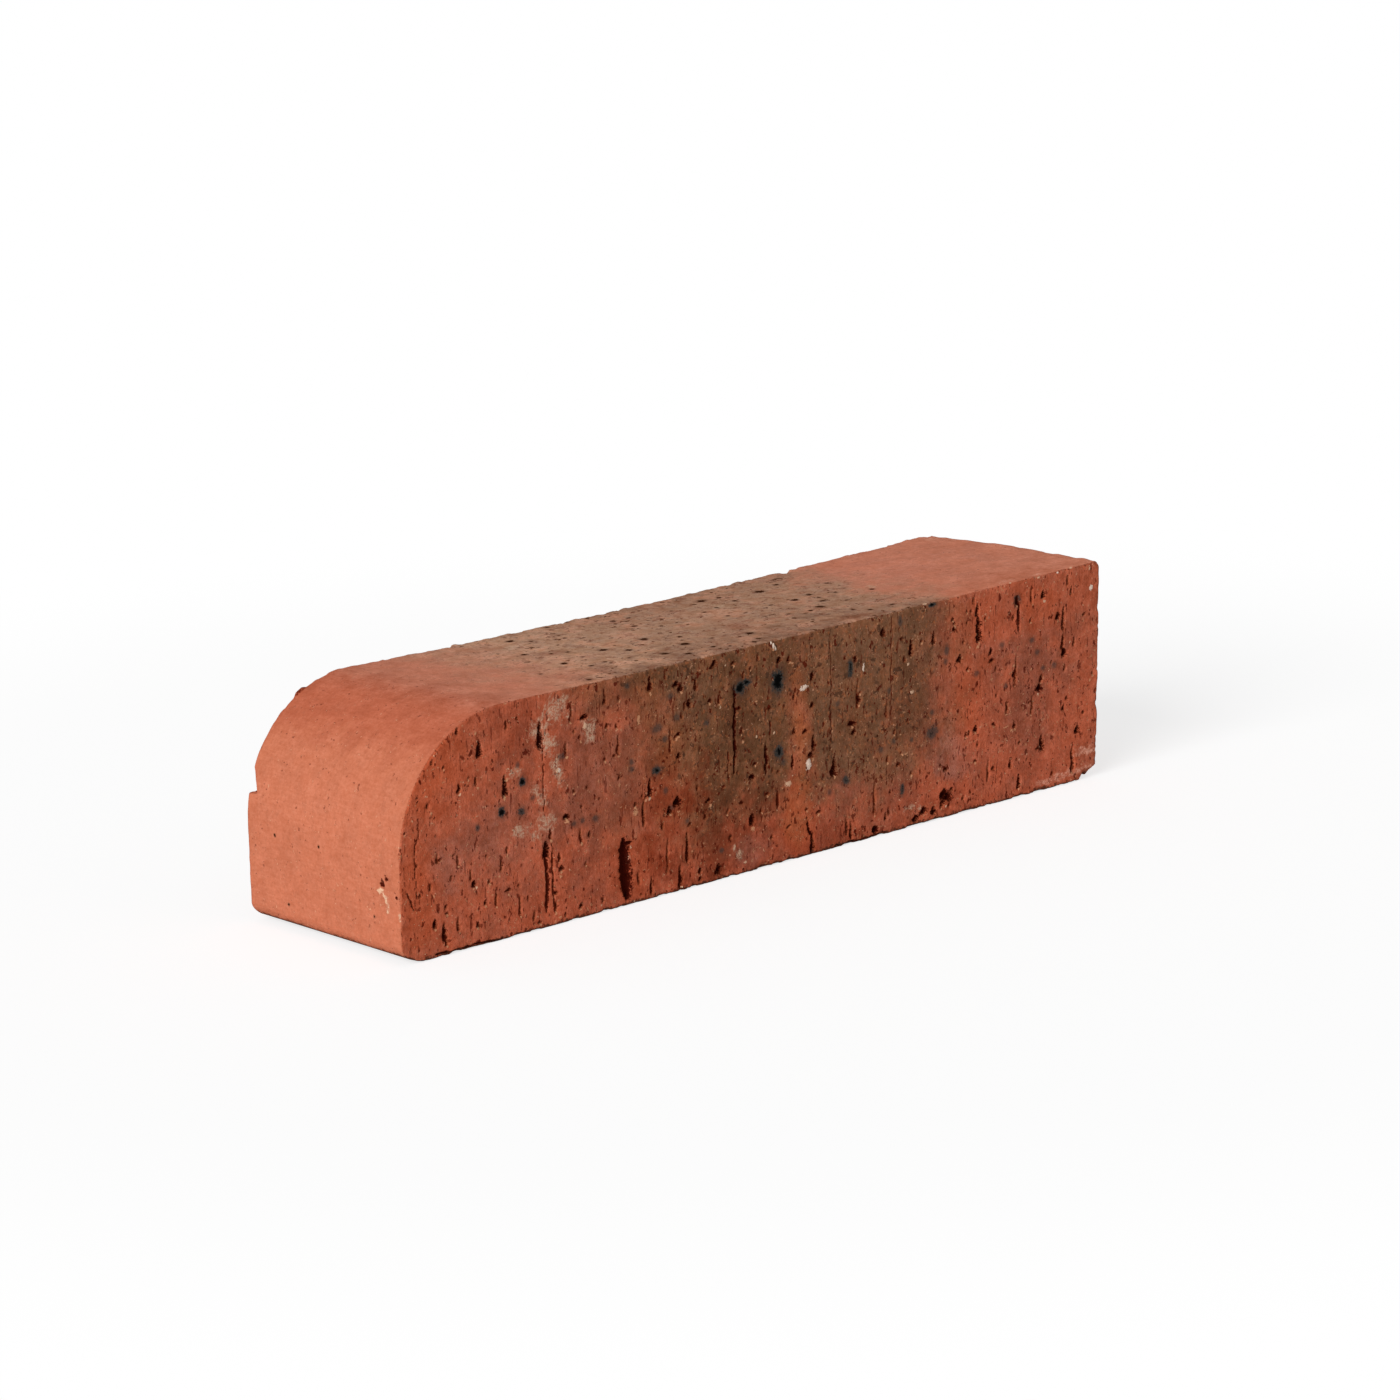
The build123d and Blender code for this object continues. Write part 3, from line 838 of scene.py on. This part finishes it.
def grain_noise(place, size, detail, rough, stretch=None):
    """Noise from 0 to 1 with blobs about size mm, on a place given in mm."""
    if stretch:
        place = vectors("DIVIDE", place, stretch)[0]
    scale = maths("DIVIDE", 1.0, size) if is_socket(size) else 1 / size
    sockets = ("Vector", "Scale", "Detail", "Roughness")
    return fed("ShaderNodeTexNoise", place, scale, detail, rough, sockets=sockets).outputs["Fac"]


def group(name, inputs):
    """A node group that puts out a mask: the empty group, the sockets it is given and its result."""
    tree = bpy.data.node_groups.new(name, "ShaderNodeTree")
    kinds = {"value": "NodeSocketFloat", "place": "NodeSocketVector"}
    for label, kind in inputs:
        tree.interface.new_socket(label, in_out="INPUT", socket_type=kinds[kind])
    tree.interface.new_socket("Mask", in_out="OUTPUT", socket_type=kinds["value"])
    return tree, tree.nodes.new("NodeGroupInput").outputs, tree.nodes.new("NodeGroupOutput").inputs["Mask"]


def placed(made, **values):
    """The mask of a node group that is fed the values by its sockets' names."""
    return fed("ShaderNodeGroup", *values.values(), sockets=list(values), node_tree=made).outputs["Mask"]


def seen_directly(tree):
    """1 for rays to the camera, also by way of gloss or glass, and 0 for those that carry light."""
    rays = put(tree, "ShaderNodeLightPath").outputs
    by_way = maths("MAXIMUM", rays["Is Glossy Ray"], rays["Is Transmission Ray"])
    return maths("MAXIMUM", rays["Is Camera Ray"], by_way)


def empty_tree(owner):
    owner.use_nodes = True
    owner.node_tree.nodes.clear()
    return owner.node_tree


# The kiln's flame browned the upper middle of the brick: places in mm, each border with how far before and
# past it the brown fades.
FLASH_SWAYS = ((12, 0.65), (9, 0.7))  # size and roughness of the noise that moves the borders along and up
FLASH_SWAY = 50.0  # mm from one end of that movement to the other
FLASH_LEFT = (-45.0, -61.0)  # on the front, and at the top
FLASH_LEFT_FADE = (-23.0, 25.0)
FLASH_RIGHT, FLASH_RIGHT_LEAN, FLASH_RIGHT_STEP = 46.5, 0.32, -5.0  # at the foot, per mm up, and at the top
FLASH_RIGHT_FADE = (-19.0, 13.0)
FLASH_FOOT_FADE = (6.0, 30.0)
FLASH_FOOT_DROP = 4.0  # how much lower it begins right of the streak
STREAK_PLACE = (6.0, 10.6)  # a red streak stands in it, at the foot and from STREAK_LEAN up
STREAK_LEAN = 34.0
STREAK_HALF_WIDTH, STREAK_CLEAR = 5.0, 0.62
STREAK_TOP_FADE = (52.0, 38.0)


def flash_group():
    """Where the flame browned the clay."""
    tree, given, result = group("kiln_flash", [("Place", "place")])
    place = given["Place"]
    x, _, z = parts(place)
    sway, sway_up = (scaled(grain_noise(place, size, 5, rough), FLASH_SWAY, -FLASH_SWAY / 2)
                     for size, rough in FLASH_SWAYS)
    swayed = plus(x, sway)
    swayed_up = plus(plus(z, sway_up), step(x, 5.0, 25.0, 0.0, FLASH_FOOT_DROP))
    from_left = step(minus(swayed, step(z, 50.0, 60.0, *FLASH_LEFT)), *FLASH_LEFT_FADE)
    right = plus(scaled(z, FLASH_RIGHT_LEAN, FLASH_RIGHT), step(z, 57.5, 60.5, 0.0, FLASH_RIGHT_STEP))
    from_right = step(minus(right, swayed), *FLASH_RIGHT_FADE)
    from_foot = step(swayed_up, *FLASH_FOOT_FADE)
    away = minus(scaled(sway, 0.25, x), step(z, 0.0, STREAK_LEAN, *STREAK_PLACE))
    streak = step(maths("ABSOLUTE", away), 0.0, STREAK_HALF_WIDTH, STREAK_CLEAR, 0.0)
    streak = times(streak, step(z, *STREAK_TOP_FADE, 0.2, 1.0))
    feed(result, times(from_left, from_right, from_foot, minus(1.0, streak)))
    return tree


def zone_group():
    """A soft cloud: 1 at its middle and 0 past its reach along each axis, all in mm."""
    tree, given, result = group("soft_zone", [("Place", "place"), ("Middle", "place"), ("Reach", "place"),
                                              ("Ragged", "value")])
    shares = vectors("DIVIDE", vectors("SUBTRACT", given["Place"], given["Middle"])[0], given["Reach"])[0]
    away = plus(vectors("LENGTH", shares)["Value"], given["Ragged"])
    feed(result, step(away, 1.05, 0.25))
    return tree


def fleck_group():
    """Ragged flecks strewn through the clay: a noise's peaks, with more of them where Cluster is high."""
    tree, given, result = group("ragged_flecks", [("Place", "place"), ("Size", "value"), ("Tall", "value"),
                                                  ("Shift", "value"), ("Start", "value"), ("Full", "value"),
                                                  ("Cluster", "value")])
    stretch = fed("ShaderNodeCombineXYZ", 1.0, 1.0, given["Tall"]).outputs[0]
    moved = vectors("ADD", vectors("DIVIDE", given["Place"], stretch)[0], given["Shift"])[0]
    peaks = plus(grain_noise(moved, given["Size"], 2.5, 0.6), given["Cluster"])
    feed(result, step(peaks, given["Start"], given["Full"]))
    return tree


# Colours of the clay, as the surface's own colour in light

SKIN_RED = (0.608, 0.189, 0.102)
SKIN_DEEP = (0.540, 0.138, 0.071)  # the upper part of the round
# The top's skin: the skin's red painted lighter and paler, as sheen and light on the top
SKIN_TOP_PAINTED_SHEEN = (0.675, 0.243, 0.150)
SKIN_PALE = (0.725, 0.271, 0.176)
SKIN_NEAR = (0.640, 0.200, 0.112)  # along the front arris, where hands and belts rubbed it
SKIN_FLASH_PALE = (0.640, 0.368, 0.240)
SKIN_FLASH_BROWN = (0.482, 0.264, 0.170)
SKIN_FLASH_DARK = (0.345, 0.172, 0.108)
CUT_RED = (0.590, 0.140, 0.069)
CUT_BRIGHT = (0.640, 0.131, 0.055)
CUT_PURPLE = (0.390, 0.117, 0.068)
CUT_DEEP = (0.335, 0.066, 0.030)
CUT_FLASHED = (0.214, 0.096, 0.047)
CUT_FLASHED_RIGHT = (0.252, 0.118, 0.062)
CUT_FLASH_WARM = (0.312, 0.120, 0.054)
CUT_SCORCHED = (0.160, 0.061, 0.028)
# Orange clay in flecks and clouds, and also the painted light on the lit lips of pits
CUT_ORANGE_AND_LIT = (0.560, 0.166, 0.062)
CUT_HAZE = (0.510, 0.190, 0.128)
CUT_EMBER = (0.400, 0.064, 0.023)
# Torn clay in the pits, darkened as painted shade, the more the deeper the hole:
TORN_DARK_AND_SHADE = (0.052, 0.004, 0.002)  # the deepest holes
PIT_BROWN_AND_SHADE = (0.120, 0.011, 0.004)  # the shallow ones
TORN_EDGE = (0.250, 0.041, 0.015)
IRON_CORE = (0.003, 0.003, 0.003)
IRON_RIM = (0.050, 0.054, 0.052)
IRON_HALO = (0.110, 0.062, 0.044)
SPECK_RIM = (0.100, 0.034, 0.012)  # round the dark specks of the die's skin
SPECK_CORE = (0.040, 0.010, 0.003)
SPECK_SMALL = (0.095, 0.030, 0.010)
GRAIN_WHITE = (0.960, 0.740, 0.600)
GRAIN_CREAM = (0.850, 0.540, 0.350)
GRAIN_OCHRE = (0.760, 0.360, 0.190)
GRAIN_PEACH = (0.900, 0.450, 0.270)
BLOOM_GREY = (0.740, 0.510, 0.350)
SCUFF_PINK = (0.940, 0.460, 0.320)  # at the right end the pale marks are scuffs
PORE_DARK = (0.120, 0.008, 0.002)
# Soot in flecks and clouds, and also the painted shade along the foot
SOOT_AND_SHADE = (0.062, 0.028, 0.017)
RUST_BROWN = (0.270, 0.082, 0.040)
CHIP_PINK = (0.560, 0.200, 0.115)

# Flecks too small to be modelled: colour, size in mm, how much taller than wide, the noise level at which
# they start and are full, their strength on plain skin, browned skin, plain cut and browned cut, and relief.
FLECK_SHIFT = 13.7  # how far apart in the noise two kinds of flecks are read
FLECKS = (
    (RUST_BROWN, 3.2, 1.0, .560, .640, .08, .40, .14, .20, 0.0),
    (SKIN_FLASH_PALE, 3.6, 1.0, .560, .640, .0, .30, .0, .0, 0.0),
    (SOOT_AND_SHADE, 2.4, 1.0, .618, .662, .0, .0, .03, .65, 0.0),
    (RUST_BROWN, 1.4, 1.0, .600, .640, .12, .35, .0, .0, 0.0),
    (SOOT_AND_SHADE, 1.5, 1.0, .645, .668, .0, .0, .0, .50, 0.0),
    (SPECK_SMALL, 2.6, 1.0, .655, .678, .0, .90, .0, .0, 0.0),
    (SPECK_SMALL, 1.5, 1.0, .668, .682, .0, .80, .0, .0, 0.0),
    (CUT_ORANGE_AND_LIT, 1.0, 1.2, .605, .645, .0, .12, .10, .42, 0.3),
    (PORE_DARK, 1.3, 1.6, .640, .666, .0, .12, .72, .80, -1.5),
    (PORE_DARK, 1.2, 1.0, .688, .708, .50, .50, .0, .0, -0.8),
    (PORE_DARK, 2.2, 1.6, .668, .688, .0, .0, .85, .85, -2.2),
    (PORE_DARK, .8, 7.0, .650, .672, .0, .0, .60, .65, -1.0),
    (GRAIN_OCHRE, 1.0, 1.0, .650, .672, .04, .15, .45, .50, 0.8),
    (GRAIN_PEACH, 1.0, 1.0, .694, .710, .50, .30, .80, .60, 1.0),
)

# Clouds of other colours: colour, middle and reach in mm, and share
EVERYWHERE = 1000.0  # mm, the reach through the brick
UPPER_ROUND = (-102, 54, 19, 15)
# On the red of the cuts, along and up
CUT_CLOUDS = (
    (CUT_DEEP, -19, 13, 34, 20, 0.9), (CUT_DEEP, 18, 2, 28, 9, 0.6), (CUT_HAZE, -92, 26, 28, 17, 0.28),
    (CUT_HAZE, 68, 18, 11, 13, 0.8), (CUT_HAZE, -110, 22, 9, 9, 0.35), (CUT_HAZE, -8, 6, 9, 6, 0.4),
    (CUT_DEEP, 67, 6, 9, 6, 0.4), (CUT_HAZE, 82, 42, 12, 10, 0.25), (CUT_DEEP, -85, 54, 12, 9, 0.45),
    (CUT_DEEP, 60, 55, 14, 9, 0.5), (CUT_BRIGHT, -114, 46, 15, 15, 0.9), (CUT_BRIGHT, 118, 14, 12, 14, 0.2),
    (CUT_PURPLE, -58, 36, 26, 26, 0.75), (CUT_PURPLE, 99, 40, 17, 15, 0.7), (CUT_PURPLE, 33, 16, 30, 12, 0.7),
    (CUT_PURPLE, -93, 30, 15, 16, 0.35), (CUT_PURPLE, 60, 40, 13, 24, 0.6),
    (CUT_PURPLE, 92, 26, 24, 24, 0.35), (CUT_BRIGHT, 73, 28, 9, 20, 0.7), (CUT_BRIGHT, 9, 12, 9, 14, 0.9),
    (CUT_ORANGE_AND_LIT, 9, 14, 7, 12, 0.35), (CUT_BRIGHT, -120, 18, 8, 26, 0.8), (CUT_BRIGHT, 78, 52, 14, 14, 0.4),
    (CUT_BRIGHT, 101, 52, 12, 9, 0.7), (CUT_BRIGHT, -50, 12, 10, 13, 0.6), (CUT_DEEP, -50, 14, 9, 12, 0.25),
    (CUT_DEEP, -72, 16, 8, 7, 0.2),
)
# On what the flame browned there
FLASH_CLOUDS = (
    (CUT_SCORCHED, -19, 25, 20, 12, 0.55), (CUT_SCORCHED, -19, 9, 17, 8, 0.25),
    (CUT_SCORCHED, -10, 46, 9, 12, 0.6), (CUT_SCORCHED, -9, 20, 9, 12, 0.45),
    (CUT_SCORCHED, 50, 35, 10, 17, 0.4), (CUT_ORANGE_AND_LIT, 11, 34, 4, 17, 0.6), (CUT_EMBER, -36, 24, 15, 18, 0.65),
    (CUT_SCORCHED, -38, 37, 10, 9, 0.35), (CUT_SCORCHED, 31, 33, 9, 9, 0.45),
    (CUT_FLASHED_RIGHT, -28, 52, 14, 9, 0.55), (CUT_ORANGE_AND_LIT, -42, 51, 7, 9, 0.25),
    (CUT_ORANGE_AND_LIT, -35, 39, 8, 8, 0.25),
)
# On the top, along and across
TOP_CLOUDS = (
    (SKIN_PALE, 78, 8, 36, 18, 0.65), (SKIN_NEAR, 82, -34, 50, 18, 0.7),
)
# On what the flame browned there
TOP_FLASH_CLOUDS = (
    (SKIN_FLASH_PALE, -56, 13, 19, 15, 0.5), (SKIN_FLASH_PALE, 10, 6, 55, 14, 0.25),
    (SKIN_FLASH_DARK, -8, -37, 95, 22, 0.75), (SKIN_FLASH_DARK, 18, 37, 60, 14, 0.5),
    (SKIN_FLASH_PALE, -46, 18, 8, 5, 0.6), (RUST_BROWN, 8, -12, 6, 5, 0.45), (RUST_BROWN, 34, -29, 8, 5, 0.5),
    (RUST_BROWN, -44, 3, 5, 4, 0.4), (SKIN_FLASH_DARK, -56, -22, 14, 9, 0.6), (SOOT_AND_SHADE, 11, -30, 6, 3, 0.35),
    (SOOT_AND_SHADE, 28, -16, 5, 5, 0.25),
)

# Noises that the clay's colour and relief read: size in mm, detail, roughness and stretch
CLAY_NOISES = {
    "fine": (0.45, 3, 0.65), "grainy": (0.9, 3, 0.7), "mottle": (2.0, 4, 0.7), "patch": (4.5, 4, 0.65),
    "cloudy": (7, 4, 0.6), "blotch": (15, 4, 0.6),
    "dragged": (1.0, 3, 0.65, (0.6, 1.0, 5.0)),  # up the wire cuts
    "drawn": (0.7, 3, 0.65, (1.0, 7.0, 1.0)),  # across the die's skin
}
# How unevenly each noise lightens and darkens the clay: the least light on plain skin, browned skin and cuts.
# The first one does it over broad places.
BROAD_SHADE = ("cloudy", 0.95, 0.82, 0.86)
SMALL_SHADES = (
    ("grainy", 0.92, 0.93, 0.86), ("patch", 0.94, 0.80, 0.88), ("mottle", 0.95, 0.91, 0.88),
    ("dragged", 1.0, 1.0, 0.94), ("drawn", 0.94, 0.95, 1.0),
)
# How strongly small light and dark places show in red, green and blue: dust and shade change blue the most
SHADE_POWERS = (0.65, 1.05, 1.4)
# Grains: their field, colour, the field's value where they are full, and their share
GRAINS = (
    ("ochre_grain", GRAIN_OCHRE, 0.25, 0.85), ("cream_grain", GRAIN_CREAM, 0.25, 0.85),
    ("white_grain", GRAIN_WHITE, 0.2, 1.0),
)
# Fine relief: each noise's height on the skin and on the cuts, as a share of the bump's height
ROUGH_GRAIN = (("fine", 0.3, 0.5), ("grainy", 0.35, 0.7), ("dragged", 0.0, 0.4), ("mottle", 0.4, 0.7))
BUMP_HEIGHT = 0.3  # mm
BUMP_STRENGTH = 0.8
SCUFFED = (75.0, 95.0)  # mm along the brick over which salts give way to scuffs
LIT_FOOT = (113.0, 117.0)  # and over which the foot turns to the light


def read_clay(tree):
    """What every step of the material reads: the place, its noises, the wire cuts and the flash."""
    clay = SimpleNamespace(tree=tree, zones=zone_group())
    clay.place = vectors("MULTIPLY", put(tree, "ShaderNodeTexCoord").outputs["Object"], (1 / MM,) * 3)[0]
    clay.along, _, clay.up = parts(clay.place)
    for name, recipe in CLAY_NOISES.items():
        setattr(clay, name, grain_noise(clay.place, *recipe))
    clay.rag = minus(clay.fine, 0.5)
    clay.zone_rag = scaled(clay.cloudy, 2.4, -1.2)
    clay.seam = plus(field(clay, "cut_side"), times(clay.rag, 2.2))
    clay.cut = step(clay.seam, -0.3, 0.3)
    clay.on_top = times(step(clay.up, 53.0, 60.0), minus(1.0, clay.cut))
    clay.flash = placed(flash_group(), Place=clay.place)
    return clay


def field(clay, name):
    """One of the fields that the mesh carries."""
    node = put(clay.tree, "ShaderNodeAttribute", attribute_type="GEOMETRY", attribute_name=name)
    return node.outputs["Fac"]


def by_face(clay, on_skin, on_cut):
    """A value that differs between the die's skin and the wire cuts."""
    return step(clay.cut, 0.0, 1.0, on_skin, on_cut)


def over_cuts(x, z, reach_x, reach_z):
    """The middle and the reach of a cloud that goes through the brick from cut to cut."""
    return (x, 0, z), (reach_x, EVERYWHERE, reach_z)


def over_top(x, y, reach_x, reach_y):
    return (x, y, HEIGHT), (reach_x, reach_y, EVERYWHERE)


def clouded(clay, colour, clouds, spread):
    """Lays clouds of other colours over a colour."""
    for cloud, *place, strength in clouds:
        middle, reach = spread(*place)
        mask = placed(clay.zones, Place=clay.place, Middle=middle, Reach=reach, Ragged=clay.zone_rag)
        colour = blended(times(mask, strength), colour, cloud)
    return colour


def cut_colour(clay):
    """The torn body inside the wire cuts."""
    body = blended(step(clay.blotch, 0.47, 0.64, 0.0, 0.6), CUT_RED, CUT_PURPLE)
    body = clouded(clay, body, CUT_CLOUDS, over_cuts)
    browned = blended(step(clay.along, 6.0, 24.0), CUT_FLASHED, CUT_FLASHED_RIGHT)
    browned = blended(step(clay.cloudy, 0.48, 0.60, 0.0, 0.5), browned, CUT_FLASH_WARM)
    browned = blended(step(clay.patch, 0.50, 0.62, 0.0, 0.4), browned, CUT_FLASH_WARM)
    body = blended(times(clay.flash, step(clay.mottle, 0.66, 0.50, 0.80, 1.0)), body, browned)
    return clouded(clay, body, FLASH_CLOUDS, over_cuts)


def skin_colour(clay):
    """The smooth skin that the die left."""
    middle, reach = over_cuts(*UPPER_ROUND)
    deep = placed(clay.zones, Place=clay.place, Middle=middle, Reach=reach, Ragged=times(clay.zone_rag, 0.4))
    skin = blended(clay.on_top, SKIN_RED, clouded(clay, SKIN_TOP_PAINTED_SHEEN, TOP_CLOUDS, over_top))
    skin = blended(times(deep, 0.9), skin, SKIN_DEEP)
    tan = blended(step(clay.along, -55.0, 5.0), SKIN_FLASH_PALE, SKIN_FLASH_BROWN)
    tan = blended(step(clay.cloudy, 0.50, 0.40, 0.0, 0.5), tan, SKIN_FLASH_PALE)
    tan = blended(step(clay.patch, 0.50, 0.62, 0.0, 0.6), tan, SKIN_FLASH_DARK)
    tan = blended(step(clay.cloudy, 0.53, 0.64, 0.0, 0.2), tan, SKIN_TOP_PAINTED_SHEEN)
    return blended(clay.flash, skin, clouded(clay, tan, TOP_FLASH_CLOUDS, over_top))


def uneven(clay, colour):
    """Light and dark places, stronger on the cuts, painted light that makes the top lighter, and fresher clay
    on broken edges.
    """
    browned = maths("MAXIMUM", clay.flash, times(clay.on_top, 0.3))

    def shade(noise_name, on_skin, on_browned, on_cut):
        least = by_face(clay, step(browned, 0.0, 1.0, on_skin, on_browned), on_cut)
        return step(getattr(clay, noise_name), 0.3, 0.7, least, minus(2.0, least))

    # Painted light: the top's skin is 6 % lighter, as it faces the light
    broad = times(shade(*BROAD_SHADE), scaled(clay.on_top, 0.06, 1.0))
    small = times(*(shade(*row) for row in SMALL_SHADES))
    tints = [times(broad, maths("POWER", small, power)) for power in SHADE_POWERS]
    colour = blended(1.0, colour, fed("ShaderNodeCombineColor", *tints).outputs[0], "MULTIPLY")
    chipped = step(scaled(clay.rag, 0.6, field(clay, "chipped")), 0.25, 0.9, 0.0, 0.4)
    return blended(chipped, colour, CHIP_PINK)


def flecked(clay, colour):
    """Lays the flecks on, which crowd along the arrises and in patches. Also gives their relief."""
    arris = step(maths("ABSOLUTE", clay.seam), 2.0, 0.2, 0.0, 0.016)
    cluster = plus(scaled(clay.patch, 0.25, -0.125), arris)
    flecks = fleck_group()
    height = 0.0
    for number, row in enumerate(FLECKS, 1):
        fleck, size, tall, start, full, skin, browned_skin, cut, browned_cut, rise = row
        mask = placed(flecks, Place=clay.place, Size=size, Tall=tall, Shift=FLECK_SHIFT * number, Start=start,
                      Full=full, Cluster=cluster)
        strength = by_face(clay, step(clay.flash, 0.0, 1.0, skin, browned_skin),
                           step(clay.flash, 0.0, 1.0, cut, browned_cut))
        mask = times(mask, strength)
        colour = blended(mask, colour, fleck)
        if rise:
            height = scaled(mask, rise, height)
    return colour, height


def salted(clay, colour):
    """Threads and dots of dried salts, and scuffs at the right end."""
    threads = maths("ABSOLUTE", minus(grain_noise(clay.place, 1.5, 3, 0.65), 0.5))
    dots = step(clay.grainy, 0.48, 0.62, 0.14, 0.80)
    threads = maths("MAXIMUM", step(threads, 0.010, 0.032, 1.0, 0.0), dots)
    bloom = plus(field(clay, "bloom"), scaled(clay.mottle, 5.0, -2.5))
    bloom = times(step(bloom, -0.8, 0.4, 0.0, 0.9), threads)
    return blended(bloom, colour, blended(step(clay.along, *SCUFFED), BLOOM_GREY, SCUFF_PINK))


def iron_spotted(clay, colour):
    """Spots of melted iron: a halo, a grey rim and a black middle."""
    burnt = field(clay, "burnt")
    iron = plus(field(clay, "iron"), scaled(clay.mottle, 1.6, -0.8))
    iron = scaled(clay.rag, 1.4, iron)
    colour = blended(step(iron, -1.1, 0.0, 0.0, 0.4), colour, IRON_HALO)
    rim = times(step(iron, -0.25, 0.3), step(burnt, 0.0, 0.4, 0.44, 0.92))
    colour = blended(rim, colour, blended(clay.cut, SPECK_RIM, IRON_RIM))
    spot = step(plus(iron, burnt), 0.78, 1.2, 0.0, 0.97)
    return blended(spot, colour, blended(clay.cut, SPECK_CORE, IRON_CORE))


def pitted(clay, colour):
    """Pits and grooves: a lip painted lighter as lit by the light, then a brown edge and a dark hole of torn
    clay with painted shade, darker in deep ones.
    """
    torn_rag = scaled(clay.grainy, 1.2, scaled(clay.rag, 1.6, -0.6))
    lit_lip = step(plus(field(clay, "lit_lip"), torn_rag), -0.35, 0.1, 0.0, 0.5)
    colour = blended(lit_lip, colour, CUT_ORANGE_AND_LIT)
    torn_and_shaded = plus(field(clay, "torn_and_shaded"), torn_rag)
    deep = field(clay, "deep")
    colour = blended(step(torn_and_shaded, -0.5, 0.0, 0.0, 0.65), colour, TORN_EDGE)
    torn_and_shaded = scaled(deep, 0.25, torn_and_shaded)
    hole = times(step(torn_and_shaded, -0.2, 0.3), step(deep, 0.0, 1.0, 0.85, 0.97))
    return blended(hole, colour, blended(deep, PIT_BROWN_AND_SHADE, TORN_DARK_AND_SHADE))


def grained(clay, colour):
    """Painted shade where the foot turns away from the light, then the grains."""
    low_rag = scaled(clay.grainy, 3.0, scaled(clay.patch, 3.0, -3.0))
    # Painted shade: the foot is darkened towards the floor, much less where the broken foot at the right
    # turns to the light
    under = step(plus(low_rag, clay.up), by_face(clay, 3.2, 1.0), by_face(clay, 1.9, 0.3), 0.0, 0.8)
    colour = blended(times(under, step(clay.along, *LIT_FOOT, 1.0, 0.15)), colour, SOOT_AND_SHADE)
    for name, grain, full, strength in GRAINS:
        mask = step(plus(field(clay, name), times(clay.rag, 2.0)), 0.0, full)
        colour = blended(times(mask, strength), colour, grain)
    return colour


def clay_material():
    material = bpy.data.materials.new("fired_clay_surface")
    tree = empty_tree(material)
    clay = read_clay(tree)
    colour = uneven(clay, blended(clay.cut, skin_colour(clay), cut_colour(clay)))
    colour, height = flecked(clay, colour)
    for layer in (salted, iron_spotted, pitted, grained):
        colour = layer(clay, colour)
    for name, on_skin, on_cut in ROUGH_GRAIN:
        height = scaled(getattr(clay, name), by_face(clay, on_skin, on_cut), height)
    bump = fed("ShaderNodeBump", BUMP_STRENGTH, BUMP_HEIGHT * MM, height,
               sockets=("Strength", "Distance", "Height"))
    roughness = scaled(clay.cut, 0.08, scaled(clay.fine, 0.2, 0.70))
    shader = fed("ShaderNodeBsdfPrincipled", colour, roughness, 0.0, bump.outputs[0],
                 sockets=("Base Color", "Roughness", "Specular IOR Level", "Normal"))
    fed("ShaderNodeOutputMaterial", shader.outputs[0])
    return material


# Floor, background and light

FLOOR_SIDE = 12.0  # m
FLOOR_DROP = 0.05  # mm under the brick
FLOOR_COLOUR = (0.80, 0.80, 0.80)
SHADOW_REACH = (0.24, 0.42)  # m from the brick's middle over which the floor turns plain white
KEY_FROM = (-0.862, -0.262, 0.45)  # direction that the main light comes from
KEY_STRENGTH = 2.44
KEY_ANGLE = 36.0  # degrees, which makes the shadow soft
SKY_WHITE = (1.0, 1.0, 1.0, 1.0)
SKY = 0.28
FLOOR_SEEN = (0.42, 0.42, 0.42)  # the floor's own colour to the camera, which shows the shadow
FLOOR_LIFT = 0.71  # and its own light to the camera, which makes it white where nothing shades it


def floor_material():
    material = bpy.data.materials.new("pale_floor")
    tree = empty_tree(material)
    seen = seen_directly(tree)
    matt = fed("ShaderNodeBsdfDiffuse", blended(seen, FLOOR_COLOUR, FLOOR_SEEN))
    lift = fed("ShaderNodeEmission", times(seen, FLOOR_LIFT), sockets=("Strength",))
    near = fed("ShaderNodeAddShader", matt.outputs[0], lift.outputs[0])
    plain = put(tree, "ShaderNodeEmission")
    from_middle = vectors("LENGTH", put(tree, "ShaderNodeTexCoord").outputs["Object"])["Value"]
    away = times(step(from_middle, *SHADOW_REACH), seen)
    mix = fed("ShaderNodeMixShader", away, near.outputs[0], plain.outputs[0])
    fed("ShaderNodeOutputMaterial", mix.outputs[0])
    return material


def make_floor():
    bm = bmesh.new()
    bmesh.ops.create_grid(bm, x_segments=1, y_segments=1, size=FLOOR_SIDE / 2,
                          matrix=Matrix.Translation((0, 0, -FLOOR_DROP * MM)))
    mesh = bpy.data.meshes.new("floor")
    bm.to_mesh(mesh)
    bm.free()
    mesh.materials.append(floor_material())
    floor = bpy.data.objects.new("floor", mesh)
    bpy.context.collection.objects.link(floor)


def make_light():
    data = bpy.data.lights.new("key", "SUN")
    data.energy = KEY_STRENGTH
    data.angle = math.radians(KEY_ANGLE)
    key = bpy.data.objects.new("key", data)
    key.rotation_euler = Vector(KEY_FROM).to_track_quat("Z", "Y").to_euler()
    bpy.context.collection.objects.link(key)
    world = bpy.data.worlds.new("white_room")
    strength = step(seen_directly(empty_tree(world)), 0.0, 1.0, SKY, 1.0)
    background = fed("ShaderNodeBackground", SKY_WHITE, strength)
    fed("ShaderNodeOutputWorld", background.outputs[0])
    bpy.context.scene.world = world
    bpy.context.scene.view_settings.view_transform = "Standard"


make_camera()
brick = make_brick()
brick.data.materials.append(clay_material())
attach(brick, "root")
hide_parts(BRICK)
make_floor()
make_light()
